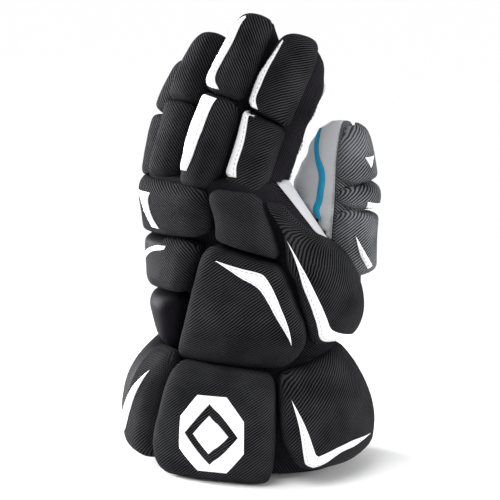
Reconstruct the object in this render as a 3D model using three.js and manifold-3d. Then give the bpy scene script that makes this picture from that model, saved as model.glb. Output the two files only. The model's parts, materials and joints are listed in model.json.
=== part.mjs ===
// A padded lacrosse glove for the left hand, standing on its cuff with the fingers up.
// Millimetres, +Z up. The back of the hand faces -Y, the palm +Y, the thumb is on the +X side.
// The origin is under the middle of the whole glove, on the surface that its cuff stands on.
import * as THREE from 'three';
import Module from 'manifold-3d';

const wasm = await Module();
wasm.setup();

// Driving sizes
const CUFF_WIDTH = 176;
const CUFF_DEPTH = 133;
const CUFF_HEIGHT = 92;
const ROLL_HEIGHT = 24;
const HAND_WIDTH = 152;
const HAND_DEPTH = 90;
const HAND_TOP = 200;
const BACK_PAD_HEIGHT = 20;
const FINGER_LENGTH = 116;
const FINGER_WIDTH = 34;
const FINGER_DEPTH = 46;
const FINGER_PAD_HEIGHT = 13;
const THUMB_LENGTH = 121;
const THUMB_WIDTH = 44;
const THUMB_DEPTH = 60;
const THUMB_PAD_HEIGHT = 12;
const LEATHER = 2.2;
const LINING = 3;
const INLAY = 1.2;
const SEAM_GAP = 0.35;
const PAD_ROOT = 1.5;
const PIPING_WIDTH = 3.2;
const BADGE_RADIUS = 28;

// Shares of those sizes
const FINGER_SIDE_PAD = 0.23;
const THUMB_SIDE_PAD = 0.25;
const BADGE_HOLE = 0.74;
const BADGE_DIAMOND = 0.46;

const table = (columns, ...rows) => rows.map((row) => {
  const names = columns.split(' ');
  return Object.fromEntries(names.map((name, index) => [name, row[index]]));
});

// Rings of the cuff: height as a share of CUFF_HEIGHT, x and half of CUFF_WIDTH,
// y, back and palm of CUFF_DEPTH, the three pad columns of ROLL_HEIGHT
const CUFF_RINGS = table('along x y half back palm sidePad backPad palmPad yaw square',
  [0.000, 0, 0, 0.455, 0.481, 0.436, 0.67, 0.75, 0.42, 10, 0.85],
  [0.152, 0, 0, 0.489, 0.526, 0.451, 0.75, 0.92, 0.45, 10, 0.85],
  [0.391, 0, 0, 0.500, 0.534, 0.451, 0.83, 1.00, 0.50, 10, 0.85],
  [0.652, 0, -0.01, 0.472, 0.496, 0.406, 0.75, 0.92, 0.45, 10, 0.85],
  [0.891, 0.006, -0.02, 0.398, 0.421, 0.331, 0.50, 0.58, 0.30, 9, 0.85],
  [1.000, 0.017, -0.03, 0.341, 0.376, 0.300, 0.33, 0.33, 0.20, 8, 0.85]);

// Rings of the hand: height as a share of HAND_TOP, x and half of HAND_WIDTH,
// y, back and palm of HAND_DEPTH, the pad columns of BACK_PAD_HEIGHT
const HAND_RINGS = table('along x y half back palm sidePad backPad palmPad yaw square',
  [0.370, 0.015, -0.033, 0.415, 0.50, 0.38, 0.50, 0.50, 0, 8, 0.85],
  [0.460, 0.046, -0.033, 0.460, 0.578, 0.39, 0.60, 0.85, 0, 8, 0.85],
  [0.575, 0.053, -0.033, 0.500, 0.600, 0.40, 0.60, 1.00, 0, 8, 0.85],
  [0.700, 0.033, -0.055, 0.487, 0.600, 0.41, 0.50, 1.00, 0, 5, 0.85],
  [0.840, -0.026, -0.122, 0.428, 0.533, 0.40, 0.30, 0.85, 0, -2, 0.80],
  [0.950, -0.088, -0.167, 0.380, 0.467, 0.38, 0.14, 0.65, 0, -8, 0.74],
  [1.000, -0.105, -0.178, 0.345, 0.400, 0.36, 0.14, 0.45, 0, -10, 0.74]);

// Rings of a finger: along as a share of its length, half and back of its own half width and
// back height; the palm side blends from the depth at the base to the depth near the tip
const FINGER_RINGS = table('along half back palmBase palmTip sidePad backPad square',
  [-0.20, 0.90, 0.90, 0.90, 0.00, 1, 0.9, 0.78],
  [0.00, 1.00, 1.00, 1.00, 0.00, 1, 1.0, 0.75],
  [0.45, 1.00, 1.00, 0.50, 0.50, 1, 1.0, 0.75],
  [0.76, 0.94, 0.90, 0.00, 1.00, 1, 1.0, 0.80],
  [0.92, 0.86, 0.78, 0.00, 0.92, 1, 0.7, 0.85],
  [1.00, 0.48, 0.34, 0.00, 0.50, 0.5, 0.3, 1.00]);

const THUMB_RINGS = table('along half back palmBase palmTip sidePad backPad square',
  [-0.20, 0.42, 0.42, 0.36, 0.00, 1, 0.9, 0.80],
  [0.00, 0.500, 0.483, 0.433, 0.00, 1, 1.0, 0.80],
  [0.37, 0.500, 0.500, 0.483, 0.00, 1, 1.0, 0.80],
  [0.58, 0.477, 0.500, 0.517, 0.00, 1, 1.0, 0.80],
  [0.81, 0.432, 0.400, 0.383, 0.00, 1, 1.0, 0.85],
  [0.94, 0.340, 0.290, 0.270, 0.00, 1, 0.7, 0.90],
  [1.00, 0.200, 0.140, 0.150, 0.00, 0.5, 0.3, 1.00]);

// Fingers: x as a share of HAND_WIDTH, y of HAND_DEPTH, z of HAND_TOP, length of FINGER_LENGTH,
// width of FINGER_WIDTH, back and palm depths of FINGER_DEPTH, angles in degrees
const FINGERS = table('name x y z yaw lean length width back palmBase palmTip curlRoot curlMid curlTip',
  ['index', 0.107, -0.178, 0.98, 2, 12, 0.895, 1.13, 0.61, 0.41, 0.54, 12, 20, 38],
  ['middle', -0.095, -0.267, 0.99, -6, 10, 1.000, 1.00, 0.61, 0.37, 0.43, 10, 19, 33],
  ['ring', -0.283, -0.189, 0.98, -12, 4, 0.880, 0.94, 0.59, 0.35, 0.39, 12, 22, 36],
  ['pinky', -0.414, 0.056, 0.94, -22, 0, 0.741, 0.88, 0.54, 0.33, 0.35, 10, 20, 34]);

const [THUMB] = table('x y z yaw lean curlRoot curlMid curlTip',
  [0.329, 0.333, 0.59, 98, 0, 0, -3, -5]);

// The middle joint's place along a finger, and the spot that every root heads for: x and y in the
// palm, and how far below the root, as shares of the hand's sizes
const MIDDLE_JOINT = 0.47;
const ROOT_AIM = { x: 0.04, y: -0.03, below: 0.17 };

// Colours seen in the photograph and how each material takes light
const MATERIALS = {
  ribbed_mesh: { color: 0x17171a, roughness: 0.85 },
  thumb_mesh: { color: 0x3a3b3f, roughness: 0.85 },
  fine_cloth: { color: 0x1c1b20, roughness: 0.8 },
  black_leather: { color: 0x1d1a22, roughness: 0.55 },
  white_leather: { color: 0xf1eff1, roughness: 0.5 },
  suede: { color: 0xc9cacd, roughness: 0.95 },
  blue_trim: { color: 0x0a7fa6, roughness: 0.6 },
  lining: { color: 0x1c5068, roughness: 0.9 },
};

const radians = THREE.MathUtils.degToRad;

// Smooth curve through one column of a table
function smoothColumn(rows, column, along) {
  const last = rows.length - 1;
  const place = Math.min(Math.max(along, rows[0].along), rows[last].along);
  let index = 0;
  while (index < last - 1 && place > rows[index + 1].along) index += 1;
  const span = rows[index + 1].along - rows[index].along;
  const share = (place - rows[index].along) / span;
  const slope = (a, b) => (rows[b][column] - rows[a][column]) / (rows[b].along - rows[a].along) * span;
  const slopeIn = slope(Math.max(index - 1, 0), index + 1);
  const slopeOut = slope(index, Math.min(index + 2, last));
  const square = share * share;
  const cube = square * share;
  return (2 * cube - 3 * square + 1) * rows[index][column] + (cube - 2 * square + share) * slopeIn
    + (3 * square - 2 * cube) * rows[index + 1][column] + (cube - square) * slopeOut;
}

// A sleeve that stands upright: every ring lies level at its own height
function standingSleeve(rings, width, depth, height, padHeight) {
  const frameAt = (along) => {
    const column = (name) => smoothColumn(rings, name, along);
    const yaw = radians(column('yaw'));
    return {
      centre: new THREE.Vector3(column('x') * width, column('y') * depth, along * height),
      side: new THREE.Vector3(Math.cos(yaw), Math.sin(yaw), 0),
      back: new THREE.Vector3(Math.sin(yaw), -Math.cos(yaw), 0),
      half: column('half') * width,
      backReach: column('back') * depth,
      palmReach: column('palm') * depth,
      sidePad: column('sidePad') * padHeight,
      backPad: column('backPad') * padHeight,
      palmPad: column('palmPad') * padHeight,
      square: column('square'),
    };
  };
  return { frameAt };
}

// How many straight steps a bent sleeve's middle line has
const BEND_STEPS = 40;

// A sleeve for a finger or the thumb: it bends toward the palm along its length,
// and its root heads for the middle of the palm
function bentSleeve(finger, sizes) {
  const base = new THREE.Vector3(finger.x * HAND_WIDTH, finger.y * HAND_DEPTH, finger.z * HAND_TOP);
  const yaw = radians(finger.yaw);
  const sideways = new THREE.Vector3(Math.cos(yaw), Math.sin(yaw), 0);
  const outward = new THREE.Vector3(Math.sin(yaw), -Math.cos(yaw), 0);
  const lean = radians(finger.lean);
  const upright = new THREE.Vector3(Math.sin(lean), 0, Math.cos(lean));
  const { x, y, below } = ROOT_AIM;
  const aim = new THREE.Vector3(x * HAND_WIDTH, y * HAND_DEPTH, base.z - below * HAND_TOP);
  const rootDirection = base.clone().sub(aim).normalize();
  const curls = [
    { along: 0, curl: finger.curlRoot },
    { along: MIDDLE_JOINT, curl: finger.curlMid },
    { along: 1, curl: finger.curlTip },
  ];
  const rootEnd = sizes.rings[0].along;
  const directionAt = (along) => {
    const curl = radians(smoothColumn(curls, 'curl', Math.max(along, 0)));
    const direction = upright.clone().multiplyScalar(Math.cos(curl));
    direction.addScaledVector(outward, -Math.sin(curl));
    return direction.lerp(rootDirection, Math.max(along / rootEnd, 0)).normalize();
  };
  const walk = (end) => {
    const centres = [base.clone()];
    for (let step = 0; step < BEND_STEPS; step += 1) {
      const direction = directionAt(end * (step + 0.5) / BEND_STEPS);
      centres.push(centres[step].clone().addScaledVector(direction, end * sizes.length / BEND_STEPS));
    }
    return centres;
  };
  const rootCentres = walk(rootEnd);
  const tipCentres = walk(1);
  const centreAt = (along) => {
    const end = along < 0 ? rootEnd : 1;
    const centres = along < 0 ? rootCentres : tipCentres;
    const place = along / end * BEND_STEPS;
    const index = Math.min(Math.floor(place), BEND_STEPS - 1);
    const stride = centres[index + 1].clone().sub(centres[index]);
    return centres[index].clone().addScaledVector(stride, place - index);
  };
  const frameAt = (along) => {
    const column = (name) => smoothColumn(sizes.rings, name, along);
    const direction = directionAt(along);
    const side = sideways.clone().addScaledVector(direction, -sideways.dot(direction)).normalize();
    return {
      centre: centreAt(along),
      side,
      back: side.clone().cross(direction),
      half: column('half') * sizes.half,
      backReach: column('back') * sizes.back,
      palmReach: column('palmBase') * sizes.palmBase + column('palmTip') * sizes.palmTip,
      sidePad: column('sidePad') * sizes.sidePad,
      backPad: column('backPad') * sizes.padHeight,
      palmPad: 0,
      square: column('square'),
    };
  };
  return { frameAt };
}

// Point on a sleeve. Level 0 is its leather, level 1 the crown of its pads, extra is in mm.
// The angle runs from the middle of the back (0) toward the thumb side (90)
function skinPoint(sleeve, angle, along, level, extra) {
  const frame = sleeve.frameAt(along);
  const sine = Math.sin(radians(angle));
  const cosine = Math.cos(radians(angle));
  const lowered = 1 - level;
  const half = frame.half - frame.sidePad * lowered + extra;
  const back = frame.backReach - frame.backPad * lowered + extra;
  const palm = frame.palmReach - frame.palmPad * lowered + extra;
  const reach = cosine >= 0 ? back : palm;
  const across = half * Math.sign(sine) * Math.abs(sine) ** frame.square;
  const outward = reach * Math.sign(cosine) * Math.abs(cosine) ** frame.square;
  const point = frame.centre.clone().addScaledVector(frame.side, across);
  return point.addScaledVector(frame.back, outward);
}

function closedSolid(points, faces) {
  const vertProperties = new Float32Array(points.flatMap((point) => [point.x, point.y, point.z]));
  const triVerts = new Uint32Array(faces.flat());
  const solid = new wasm.Manifold(new wasm.Mesh({ numProp: 3, vertProperties, triVerts }));
  if (solid.volume() > 0) return solid;
  const turned = new Uint32Array(faces.flatMap((face) => [face[0], face[2], face[1]]));
  return new wasm.Manifold(new wasm.Mesh({ numProp: 3, vertProperties, triVerts: turned }));
}

// Rings of equal count joined into one closed body
function ringSolid(rings) {
  const count = rings[0].length;
  const points = rings.flat();
  const faces = [];
  for (let row = 0; row < rings.length - 1; row += 1) {
    for (let spot = 0; spot < count; spot += 1) {
      const a = row * count + spot;
      const b = row * count + (spot + 1) % count;
      faces.push([a, b, b + count], [a, b + count, a + count]);
    }
  }
  const closeEnd = (row, order) => {
    const middle = rings[row].reduce((sum, point) => sum.add(point), new THREE.Vector3());
    points.push(middle.divideScalar(count));
    for (let spot = 0; spot < count; spot += 1) {
      const a = row * count + spot;
      const b = row * count + (spot + 1) % count;
      faces.push(order ? [points.length - 1, a, b] : [points.length - 1, b, a]);
    }
  };
  closeEnd(0, false);
  closeEnd(rings.length - 1, true);
  return closedSolid(points, faces);
}

function sleeveSolid(sleeve, stations, around, extra) {
  const rings = stations.map((along) => {
    const ring = [];
    for (let spot = 0; spot < around; spot += 1) {
      ring.push(skinPoint(sleeve, 360 * spot / around, along, 0, extra));
    }
    return ring;
  });
  return ringSolid(rings);
}

// Parts of a sector along the sleeve and round it; where its edge lies, as a share of the palm's
// depth toward the back; and how much more than the seam's gap its sides are moved
const SECTOR_STEPS = 3;
const SECTOR_SPOTS = 3;
const SECTOR_EDGE = 0.15;
const SECTOR_WIDENING = 1.5;

// The part of a sleeve's surroundings between two angles, used to part the palm from the sides
function sectorSolid(sleeve, { fromAngle, toAngle, from, to, widen }) {
  const rings = [];
  const widest = sleeve.frameAt(0.5);
  const reach = 2 * Math.max(widest.half, widest.palmReach, widest.backReach);
  for (let step = 0; step <= SECTOR_STEPS; step += 1) {
    const along = from + (to - from) * step / SECTOR_STEPS;
    const frame = sleeve.frameAt(along);
    const edge = SECTOR_EDGE * widest.palmReach + widen;
    const middle = frame.centre.clone().addScaledVector(frame.back, edge);
    const ring = [middle];
    for (let spot = 0; spot <= SECTOR_SPOTS; spot += 1) {
      const angle = fromAngle + (toAngle - fromAngle) * spot / SECTOR_SPOTS;
      const rim = skinPoint(sleeve, angle, along, 1, 0);
      const outside = spot === 0 ? -1 : 1;
      if (spot === 0 || spot === SECTOR_SPOTS) {
        const tangent = skinPoint(sleeve, angle + outside, along, 1, 0).sub(rim).normalize();
        rim.addScaledVector(tangent, SECTOR_WIDENING * widen);
      }
      const direction = rim.sub(middle).normalize();
      ring.push(middle.clone().addScaledVector(direction, reach));
    }
    rings.push(ring);
  }
  return ringSolid(rings);
}

const easedShare = (share) => (1 - Math.cos(Math.PI * share)) / 2;

// Quarter-round shoulder of a pad: 0 at its edge, 1 from the distance `roll` on
function shoulder(distance, roll) {
  const share = Math.min(Math.max(distance / roll, 0), 1);
  return Math.sqrt(1 - (1 - share) ** 2);
}

function rowAt(rows, share) {
  const place = share * (rows.length - 1);
  const index = Math.min(Math.floor(place), rows.length - 2);
  const below = rows[index];
  const above = rows[index + 1];
  const mix = (column) => THREE.MathUtils.lerp(below[column], above[column], place - index);
  return {
    left: mix('left'),
    leftAlong: mix('leftAlong'),
    right: mix('right'),
    rightAlong: mix('rightAlong'),
  };
}

// A cushion on a sleeve. Its rows run from its lower to its upper edge; each gives the angle and
// the place along the sleeve at its left and right end. Grow swells it by that many mm.
function padSolid(sleeve, rows, shape, grow) {
  const { across, up, rim, roll } = shape;
  const spot = (u, v, level, extra) => {
    const row = rowAt(rows, v);
    const angle = THREE.MathUtils.lerp(row.left, row.right, u);
    const along = THREE.MathUtils.lerp(row.leftAlong, row.rightAlong, u);
    return skinPoint(sleeve, angle, along, level, extra);
  };
  const middle = spot(0.5, 0.5, 0.5, 0);
  const width = spot(0, 0.5, 0.5, 0).distanceTo(middle) + spot(1, 0.5, 0.5, 0).distanceTo(middle);
  const height = spot(0.5, 0, 0.5, 0).distanceTo(spot(0.5, 1, 0.5, 0));
  const top = [];
  const bottom = [];
  for (let j = 0; j <= up; j += 1) {
    const v = easedShare(j / up);
    for (let i = 0; i <= across; i += 1) {
      const u = easedShare(i / across);
      const sideDistance = Math.min(u, 1 - u) * width;
      const endDistance = Math.min(v, 1 - v) * height;
      const level = rim + (1 - rim) * shoulder(sideDistance, roll) * shoulder(endDistance, roll);
      const wideU = u + (u - 0.5) * 2 * grow / width;
      const wideV = v + (v - 0.5) * 2 * grow / height;
      top.push(growSpot(spot, wideU, wideV, level, grow));
      bottom.push(growSpot(spot, wideU, wideV, 0, -PAD_ROOT - grow));
    }
  }
  const rowLength = across + 1;
  const count = top.length;
  const faces = [];
  for (let j = 0; j < up; j += 1) {
    for (let i = 0; i < across; i += 1) {
      const a = j * rowLength + i;
      const b = a + 1;
      const c = b + rowLength;
      const d = a + rowLength;
      faces.push([a, b, c], [a, c, d]);
      faces.push([count + a, count + c, count + b], [count + a, count + d, count + c]);
    }
  }
  const edge = [];
  for (let i = 0; i < across; i += 1) edge.push(i);
  for (let j = 0; j < up; j += 1) edge.push(j * rowLength + across);
  for (let i = across; i > 0; i -= 1) edge.push(up * rowLength + i);
  for (let j = up; j > 0; j -= 1) edge.push(j * rowLength);
  edge.forEach((a, index) => {
    const b = edge[(index + 1) % edge.length];
    faces.push([a, count + a, b], [b, count + a, count + b]);
  });
  return closedSolid([...top, ...bottom], faces);
}

// The share of a pad's side that the slope of its end is taken over
const END_SLOPE = 0.02;

// A grown pad reaches a little past its rows, so its ends follow the slope of its last row
function growSpot(spot, u, v, level, extra) {
  const insideU = Math.min(Math.max(u, 0), 1);
  const insideV = Math.min(Math.max(v, 0), 1);
  const point = spot(insideU, insideV, level, extra);
  const past = (outside, stepU, stepV) => {
    if (outside === 0) return;
    const inner = spot(insideU - stepU, insideV - stepV, level, extra);
    const outer = spot(insideU, insideV, level, extra);
    point.addScaledVector(outer.sub(inner), Math.abs(outside) / END_SLOPE);
  };
  past(u - insideU, END_SLOPE * Math.sign(u - insideU), 0);
  past(v - insideV, 0, END_SLOPE * Math.sign(v - insideV));
  return point;
}

// How far over a pad's crown a plug reaches
const PLUG_REACH = 12;

// A plug through a sleeve's skin inside an outline of [angle, along] points
function outlinePlug(sleeve, outline, depth) {
  const flat = outline.map(([angle, along]) => new THREE.Vector2(angle, along * 100));
  if (THREE.ShapeUtils.isClockWise(flat)) flat.reverse();
  const count = flat.length;
  const ring = (level, extra) => flat.map(
    (spot) => skinPoint(sleeve, spot.x, spot.y / 100, level, extra),
  );
  const caps = THREE.ShapeUtils.triangulateShape(flat, []);
  const faces = caps.map(([a, b, c]) => [a, c, b]);
  caps.forEach(([a, b, c]) => faces.push([count + a, count + b, count + c]));
  for (let spot = 0; spot < count; spot += 1) {
    const next = (spot + 1) % count;
    faces.push([spot, next, count + next], [spot, count + next, count + spot]);
  }
  return closedSolid([...ring(0, -depth), ...ring(1, PLUG_REACH)], faces);
}

// Every finished piece, and what later pieces have to keep clear of
const finished = [];
const carriers = [];

const boxesMeet = (a, b) => [0, 1, 2].every(
  (axis) => a.min[axis] < b.max[axis] && b.min[axis] < a.max[axis],
);

function keepClear(solid, except = []) {
  let result = solid;
  carriers.forEach((carrier) => {
    if (except.includes(carrier.name)) return;
    if (!boxesMeet(result.boundingBox(), carrier.grown.boundingBox())) return;
    result = result.subtract(carrier.grown);
  });
  return result;
}

function largestBody(solid) {
  const bodies = solid.decompose();
  return bodies.reduce((best, body) => (body.volume() > best.volume() ? body : best));
}

function finish(name, solid, material) {
  finished.push({ name, solid: largestBody(solid), material });
}

// Sleeves
const cuffSleeve = standingSleeve(CUFF_RINGS, CUFF_WIDTH, CUFF_DEPTH, CUFF_HEIGHT, ROLL_HEIGHT);
const handSleeve = standingSleeve(HAND_RINGS, HAND_WIDTH, HAND_DEPTH, HAND_TOP, BACK_PAD_HEIGHT);
const fingerSleeves = FINGERS.map((finger) => bentSleeve(finger, {
  rings: FINGER_RINGS,
  length: finger.length * FINGER_LENGTH,
  half: finger.width * FINGER_WIDTH / 2,
  back: finger.back * FINGER_DEPTH,
  palmBase: finger.palmBase * FINGER_DEPTH,
  palmTip: finger.palmTip * FINGER_DEPTH,
  sidePad: FINGER_SIDE_PAD * FINGER_PAD_HEIGHT,
  padHeight: FINGER_PAD_HEIGHT,
}));
const thumbSleeve = bentSleeve(THUMB, {
  rings: THUMB_RINGS,
  length: THUMB_LENGTH,
  half: THUMB_WIDTH,
  back: THUMB_DEPTH,
  palmBase: THUMB_DEPTH,
  palmTip: THUMB_DEPTH,
  sidePad: THUMB_SIDE_PAD * THUMB_PAD_HEIGHT,
  padHeight: THUMB_PAD_HEIGHT,
});
const digits = [
  ...FINGERS.map((finger, index) => ({ name: finger.name, sleeve: fingerSleeves[index] })),
  { name: 'thumb', sleeve: thumbSleeve },
];

// Places of the rings along each sleeve; a hollow shares them, so its wall keeps its thickness
const HAND_STATIONS = [0.33, 0.48, 0.61, 0.74, 0.86, 0.95, 1];
const DIGIT_STATIONS = [-0.2, 0, 0.36, 0.7, 0.91, 1];
const LINING_STATIONS = [0.05, 0.3, 0.58, 0.89];
const HAND_SIDES = 16;
const DIGIT_SIDES = 10;
const CAVITY_TIP = 0.94;
const CAVITY_START = 0.02;
const LINING_TOP = 0.94;

const handSolid = (extra) => sleeveSolid(handSleeve, HAND_STATIONS, HAND_SIDES, extra);
const digitSolid = (sleeve, extra) => sleeveSolid(sleeve, DIGIT_STATIONS, DIGIT_SIDES, extra);

// The hollow of a sleeve runs a little past its open lower end
function hollowSolid(sleeve, stations, sides, thickness, end) {
  const [first, ...others] = stations;
  const inside = [first - CAVITY_START, ...others.filter((along) => along < end), end];
  return sleeveSolid(sleeve, inside, sides, -thickness);
}

function digitCavity(sleeve) {
  return hollowSolid(sleeve, DIGIT_STATIONS, DIGIT_SIDES, LEATHER, CAVITY_TIP);
}

// Between which angles the suede of the palm side lies, and from where to where along the sleeve
const HAND_PALM = { fromAngle: 118, toAngle: 250, from: 0.3, to: 1.1 };
const FINGER_PALM = { fromAngle: 115, toAngle: 245, from: -0.25, to: 1.1 };
const THUMB_PALM = { fromAngle: 82, toAngle: 278, from: -0.25, to: 1.1 };

// Leather parted into a palm side and a back side along two seams
function partPalm(shell, sleeve, palm, palmName, backName) {
  const sector = (widen) => sectorSolid(sleeve, { ...palm, widen });
  const palmSide = shell.intersect(sector(0));
  finish(palmName, palmSide, 'suede');
  finish(backName, shell.subtract(sector(SEAM_GAP)).subtract(palmSide), 'fine_cloth');
}

function buildHand() {
  const top = 1 - LEATHER / HAND_TOP;
  const cavity = hollowSolid(handSleeve, HAND_STATIONS, HAND_SIDES, LEATHER, top);
  let shell = handSolid(0).subtract(cavity);
  digits.forEach((digit) => {
    shell = shell.subtract(digitCavity(digit.sleeve));
  });
  partPalm(shell, handSleeve, HAND_PALM, 'palm_suede', 'hand_liner');
  carriers.push({ name: 'hand', grown: handSolid(SEAM_GAP) });
}

function buildCuffLining() {
  const outside = sleeveSolid(cuffSleeve, LINING_STATIONS, HAND_SIDES, 0);
  const inside = hollowSolid(cuffSleeve, LINING_STATIONS, HAND_SIDES, LINING, LINING_TOP);
  finish('cuff_lining', keepClear(outside.subtract(inside)), 'lining');
  const grown = sleeveSolid(cuffSleeve, LINING_STATIONS, HAND_SIDES, SEAM_GAP);
  carriers.push({ name: 'cuff', grown });
}

function buildDigits() {
  digits.forEach((digit) => {
    const shell = keepClear(digitSolid(digit.sleeve, 0).subtract(digitCavity(digit.sleeve)));
    const palm = digit.name === 'thumb' ? THUMB_PALM : FINGER_PALM;
    partPalm(shell, digit.sleeve, palm, `${digit.name}_palm`, `${digit.name}_sleeve`);
    carriers.push({ name: digit.name, grown: digitSolid(digit.sleeve, SEAM_GAP) });
  });
}

const PAD_COLUMNS = 'left leftAlong right rightAlong';

// How many cells a pad has each way, how high its rim stands as a share of its height, and how
// wide its rounded shoulder is in mm
const FINGER_PAD = { across: 5, up: 5, rim: 0.35, roll: 7 };
const HAND_PAD = { across: 6, up: 5, rim: 0.45, roll: 9 };
const CUFF_PAD = { across: 6, up: 5, rim: 0.45, roll: 11 };
const STRETCH_PAD = { across: 5, up: 4, rim: 0.12, roll: 13 };

// Pads: angles in degrees, places as shares of the sleeve's length
const PADS = [
  { name: 'index_tip_pad', on: 'index', shape: FINGER_PAD, rows: table(PAD_COLUMNS,
    [-80, 0.455, 54, 0.385], [-78, 0.58, 58, 0.52], [-74, 0.75, 62, 0.70], [-66, 0.98, 66, 0.97]) },
  { name: 'index_base_pad', on: 'index', shape: FINGER_PAD, rows: table(PAD_COLUMNS,
    [-78, -0.05, 42, -0.08], [-80, 0.22, 46, 0.20], [-80, 0.445, 52, 0.375]) },
  { name: 'middle_tip_pad', on: 'middle', shape: FINGER_PAD, rows: table(PAD_COLUMNS,
    [-78, 0.485, 62, 0.46], [-76, 0.72, 64, 0.70], [-66, 0.97, 66, 0.96]) },
  { name: 'middle_base_pad', on: 'middle', shape: FINGER_PAD, rows: table(PAD_COLUMNS,
    [-76, -0.04, 56, -0.04], [-78, 0.475, 62, 0.45]) },
  { name: 'ring_tip_pad', on: 'ring', shape: FINGER_PAD, rows: table(PAD_COLUMNS,
    [-78, 0.475, 62, 0.475], [-76, 0.72, 64, 0.72], [-66, 0.97, 66, 0.96]) },
  { name: 'ring_base_pad', on: 'ring', shape: FINGER_PAD, rows: table(PAD_COLUMNS,
    [-76, -0.01, 60, -0.01], [-78, 0.465, 62, 0.465]) },
  { name: 'pinky_tip_pad', on: 'pinky', shape: FINGER_PAD, rows: table(PAD_COLUMNS,
    [-80, 0.51, 62, 0.51], [-76, 0.74, 64, 0.74], [-66, 0.97, 66, 0.96]) },
  { name: 'pinky_base_pad', on: 'pinky', shape: FINGER_PAD, rows: table(PAD_COLUMNS,
    [-78, 0.03, 60, 0.0], [-80, 0.50, 62, 0.50]) },
  { name: 'thumb_tip_pad', on: 'thumb', shape: FINGER_PAD, rows: table(PAD_COLUMNS,
    [-78, 0.645, 78, 0.66], [-78, 0.80, 76, 0.80], [-68, 0.96, 68, 0.96]) },
  { name: 'thumb_middle_pad', on: 'thumb', shape: FINGER_PAD, rows: table(PAD_COLUMNS,
    [-78, 0.525, 78, 0.46], [-78, 0.63, 78, 0.645]) },
  { name: 'thumb_base_pad', on: 'thumb', shape: FINGER_PAD, rows: table(PAD_COLUMNS,
    [-78, 0.12, 78, 0.12], [-78, 0.51, 78, 0.445]) },
  { name: 'cuff_centre_roll', on: 'cuff', shape: CUFF_PAD, rows: table(PAD_COLUMNS,
    [-32, 0.00, 22, 0.00], [-34, 0.20, 24, 0.20], [-30, 0.54, 25, 0.54],
    [-28, 0.87, 27, 0.81]) },
  { name: 'cuff_little_finger_roll', on: 'cuff', shape: CUFF_PAD, rows: table(PAD_COLUMNS,
    [-102, 0.11, -35, 0.09], [-102, 0.32, -35, 0.29], [-101, 0.60, -31, 0.54],
    [-100, 0.96, -29, 0.90]) },
  { name: 'cuff_thumb_roll', on: 'cuff', shape: CUFF_PAD, rows: table(PAD_COLUMNS,
    [38, 0.11, 108, 0.12], [29, 0.32, 108, 0.33], [27, 0.55, 108, 0.60],
    [29, 0.82, 108, 0.96]) },
  { name: 'cuff_palm_roll', on: 'cuff', shape: { ...CUFF_PAD, across: 8 }, rows: table(PAD_COLUMNS,
    [111, 0.00, 255, 0.00], [111, 0.40, 255, 0.40], [111, 0.80, 256, 0.80]) },
  { name: 'knuckle_pad_little', on: 'hand', shape: HAND_PAD, rows: table(PAD_COLUMNS,
    [-86, 0.795, -2, 0.815], [-86, 0.88, 5, 0.89], [-86, 0.99, 10, 0.985]) },
  { name: 'knuckle_pad_index', on: 'hand', shape: HAND_PAD, rows: table(PAD_COLUMNS,
    [1, 0.812, 36, 0.755], [8, 0.89, 48, 0.87], [13, 0.985, 60, 0.975]) },
  { name: 'back_pad_centre', on: 'hand', shape: HAND_PAD, rows: table(PAD_COLUMNS,
    [-39, 0.385, 37, 0.385], [-31, 0.49, 43, 0.48], [-22, 0.61, 35, 0.59],
    [-12, 0.715, 33, 0.65], [-1, 0.802, 34, 0.745]) },
  { name: 'back_pad_little', on: 'hand', shape: HAND_PAD, rows: table(PAD_COLUMNS,
    [-88, 0.61, -25, 0.62], [-88, 0.70, -15, 0.71], [-88, 0.785, -4, 0.805]) },
  { name: 'stretch_panel', on: 'hand', shape: STRETCH_PAD, rows: table(PAD_COLUMNS,
    [-88, 0.42, -42, 0.40], [-88, 0.605, -27, 0.615]) },
  { name: 'back_pad_thumb', on: 'hand', shape: { ...HAND_PAD, up: 7 }, rows: table(PAD_COLUMNS,
    [46, 0.470, 108, 0.460], [37, 0.590, 114, 0.570], [37, 0.68, 115, 0.67], [38, 0.745, 112, 0.76],
    [52, 0.835, 90, 0.830], [57, 0.88, 82, 0.875], [62, 0.95, 80, 0.94]) },
];

function sleeveOf(name) {
  if (name === 'cuff') return cuffSleeve;
  if (name === 'hand') return handSleeve;
  return digits.find((digit) => digit.name === name).sleeve;
}

function padMaterial(pad) {
  if (pad.name === 'stretch_panel') return 'black_leather';
  return pad.on === 'thumb' ? 'thumb_mesh' : 'ribbed_mesh';
}

function buildPads() {
  PADS.forEach((pad) => {
    const sleeve = sleeveOf(pad.on);
    const solid = keepClear(padSolid(sleeve, pad.rows, pad.shape, 0));
    finish(pad.name, solid, padMaterial(pad));
    carriers.push({ name: pad.name, grown: padSolid(sleeve, pad.rows, pad.shape, SEAM_GAP) });
  });
}

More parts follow.
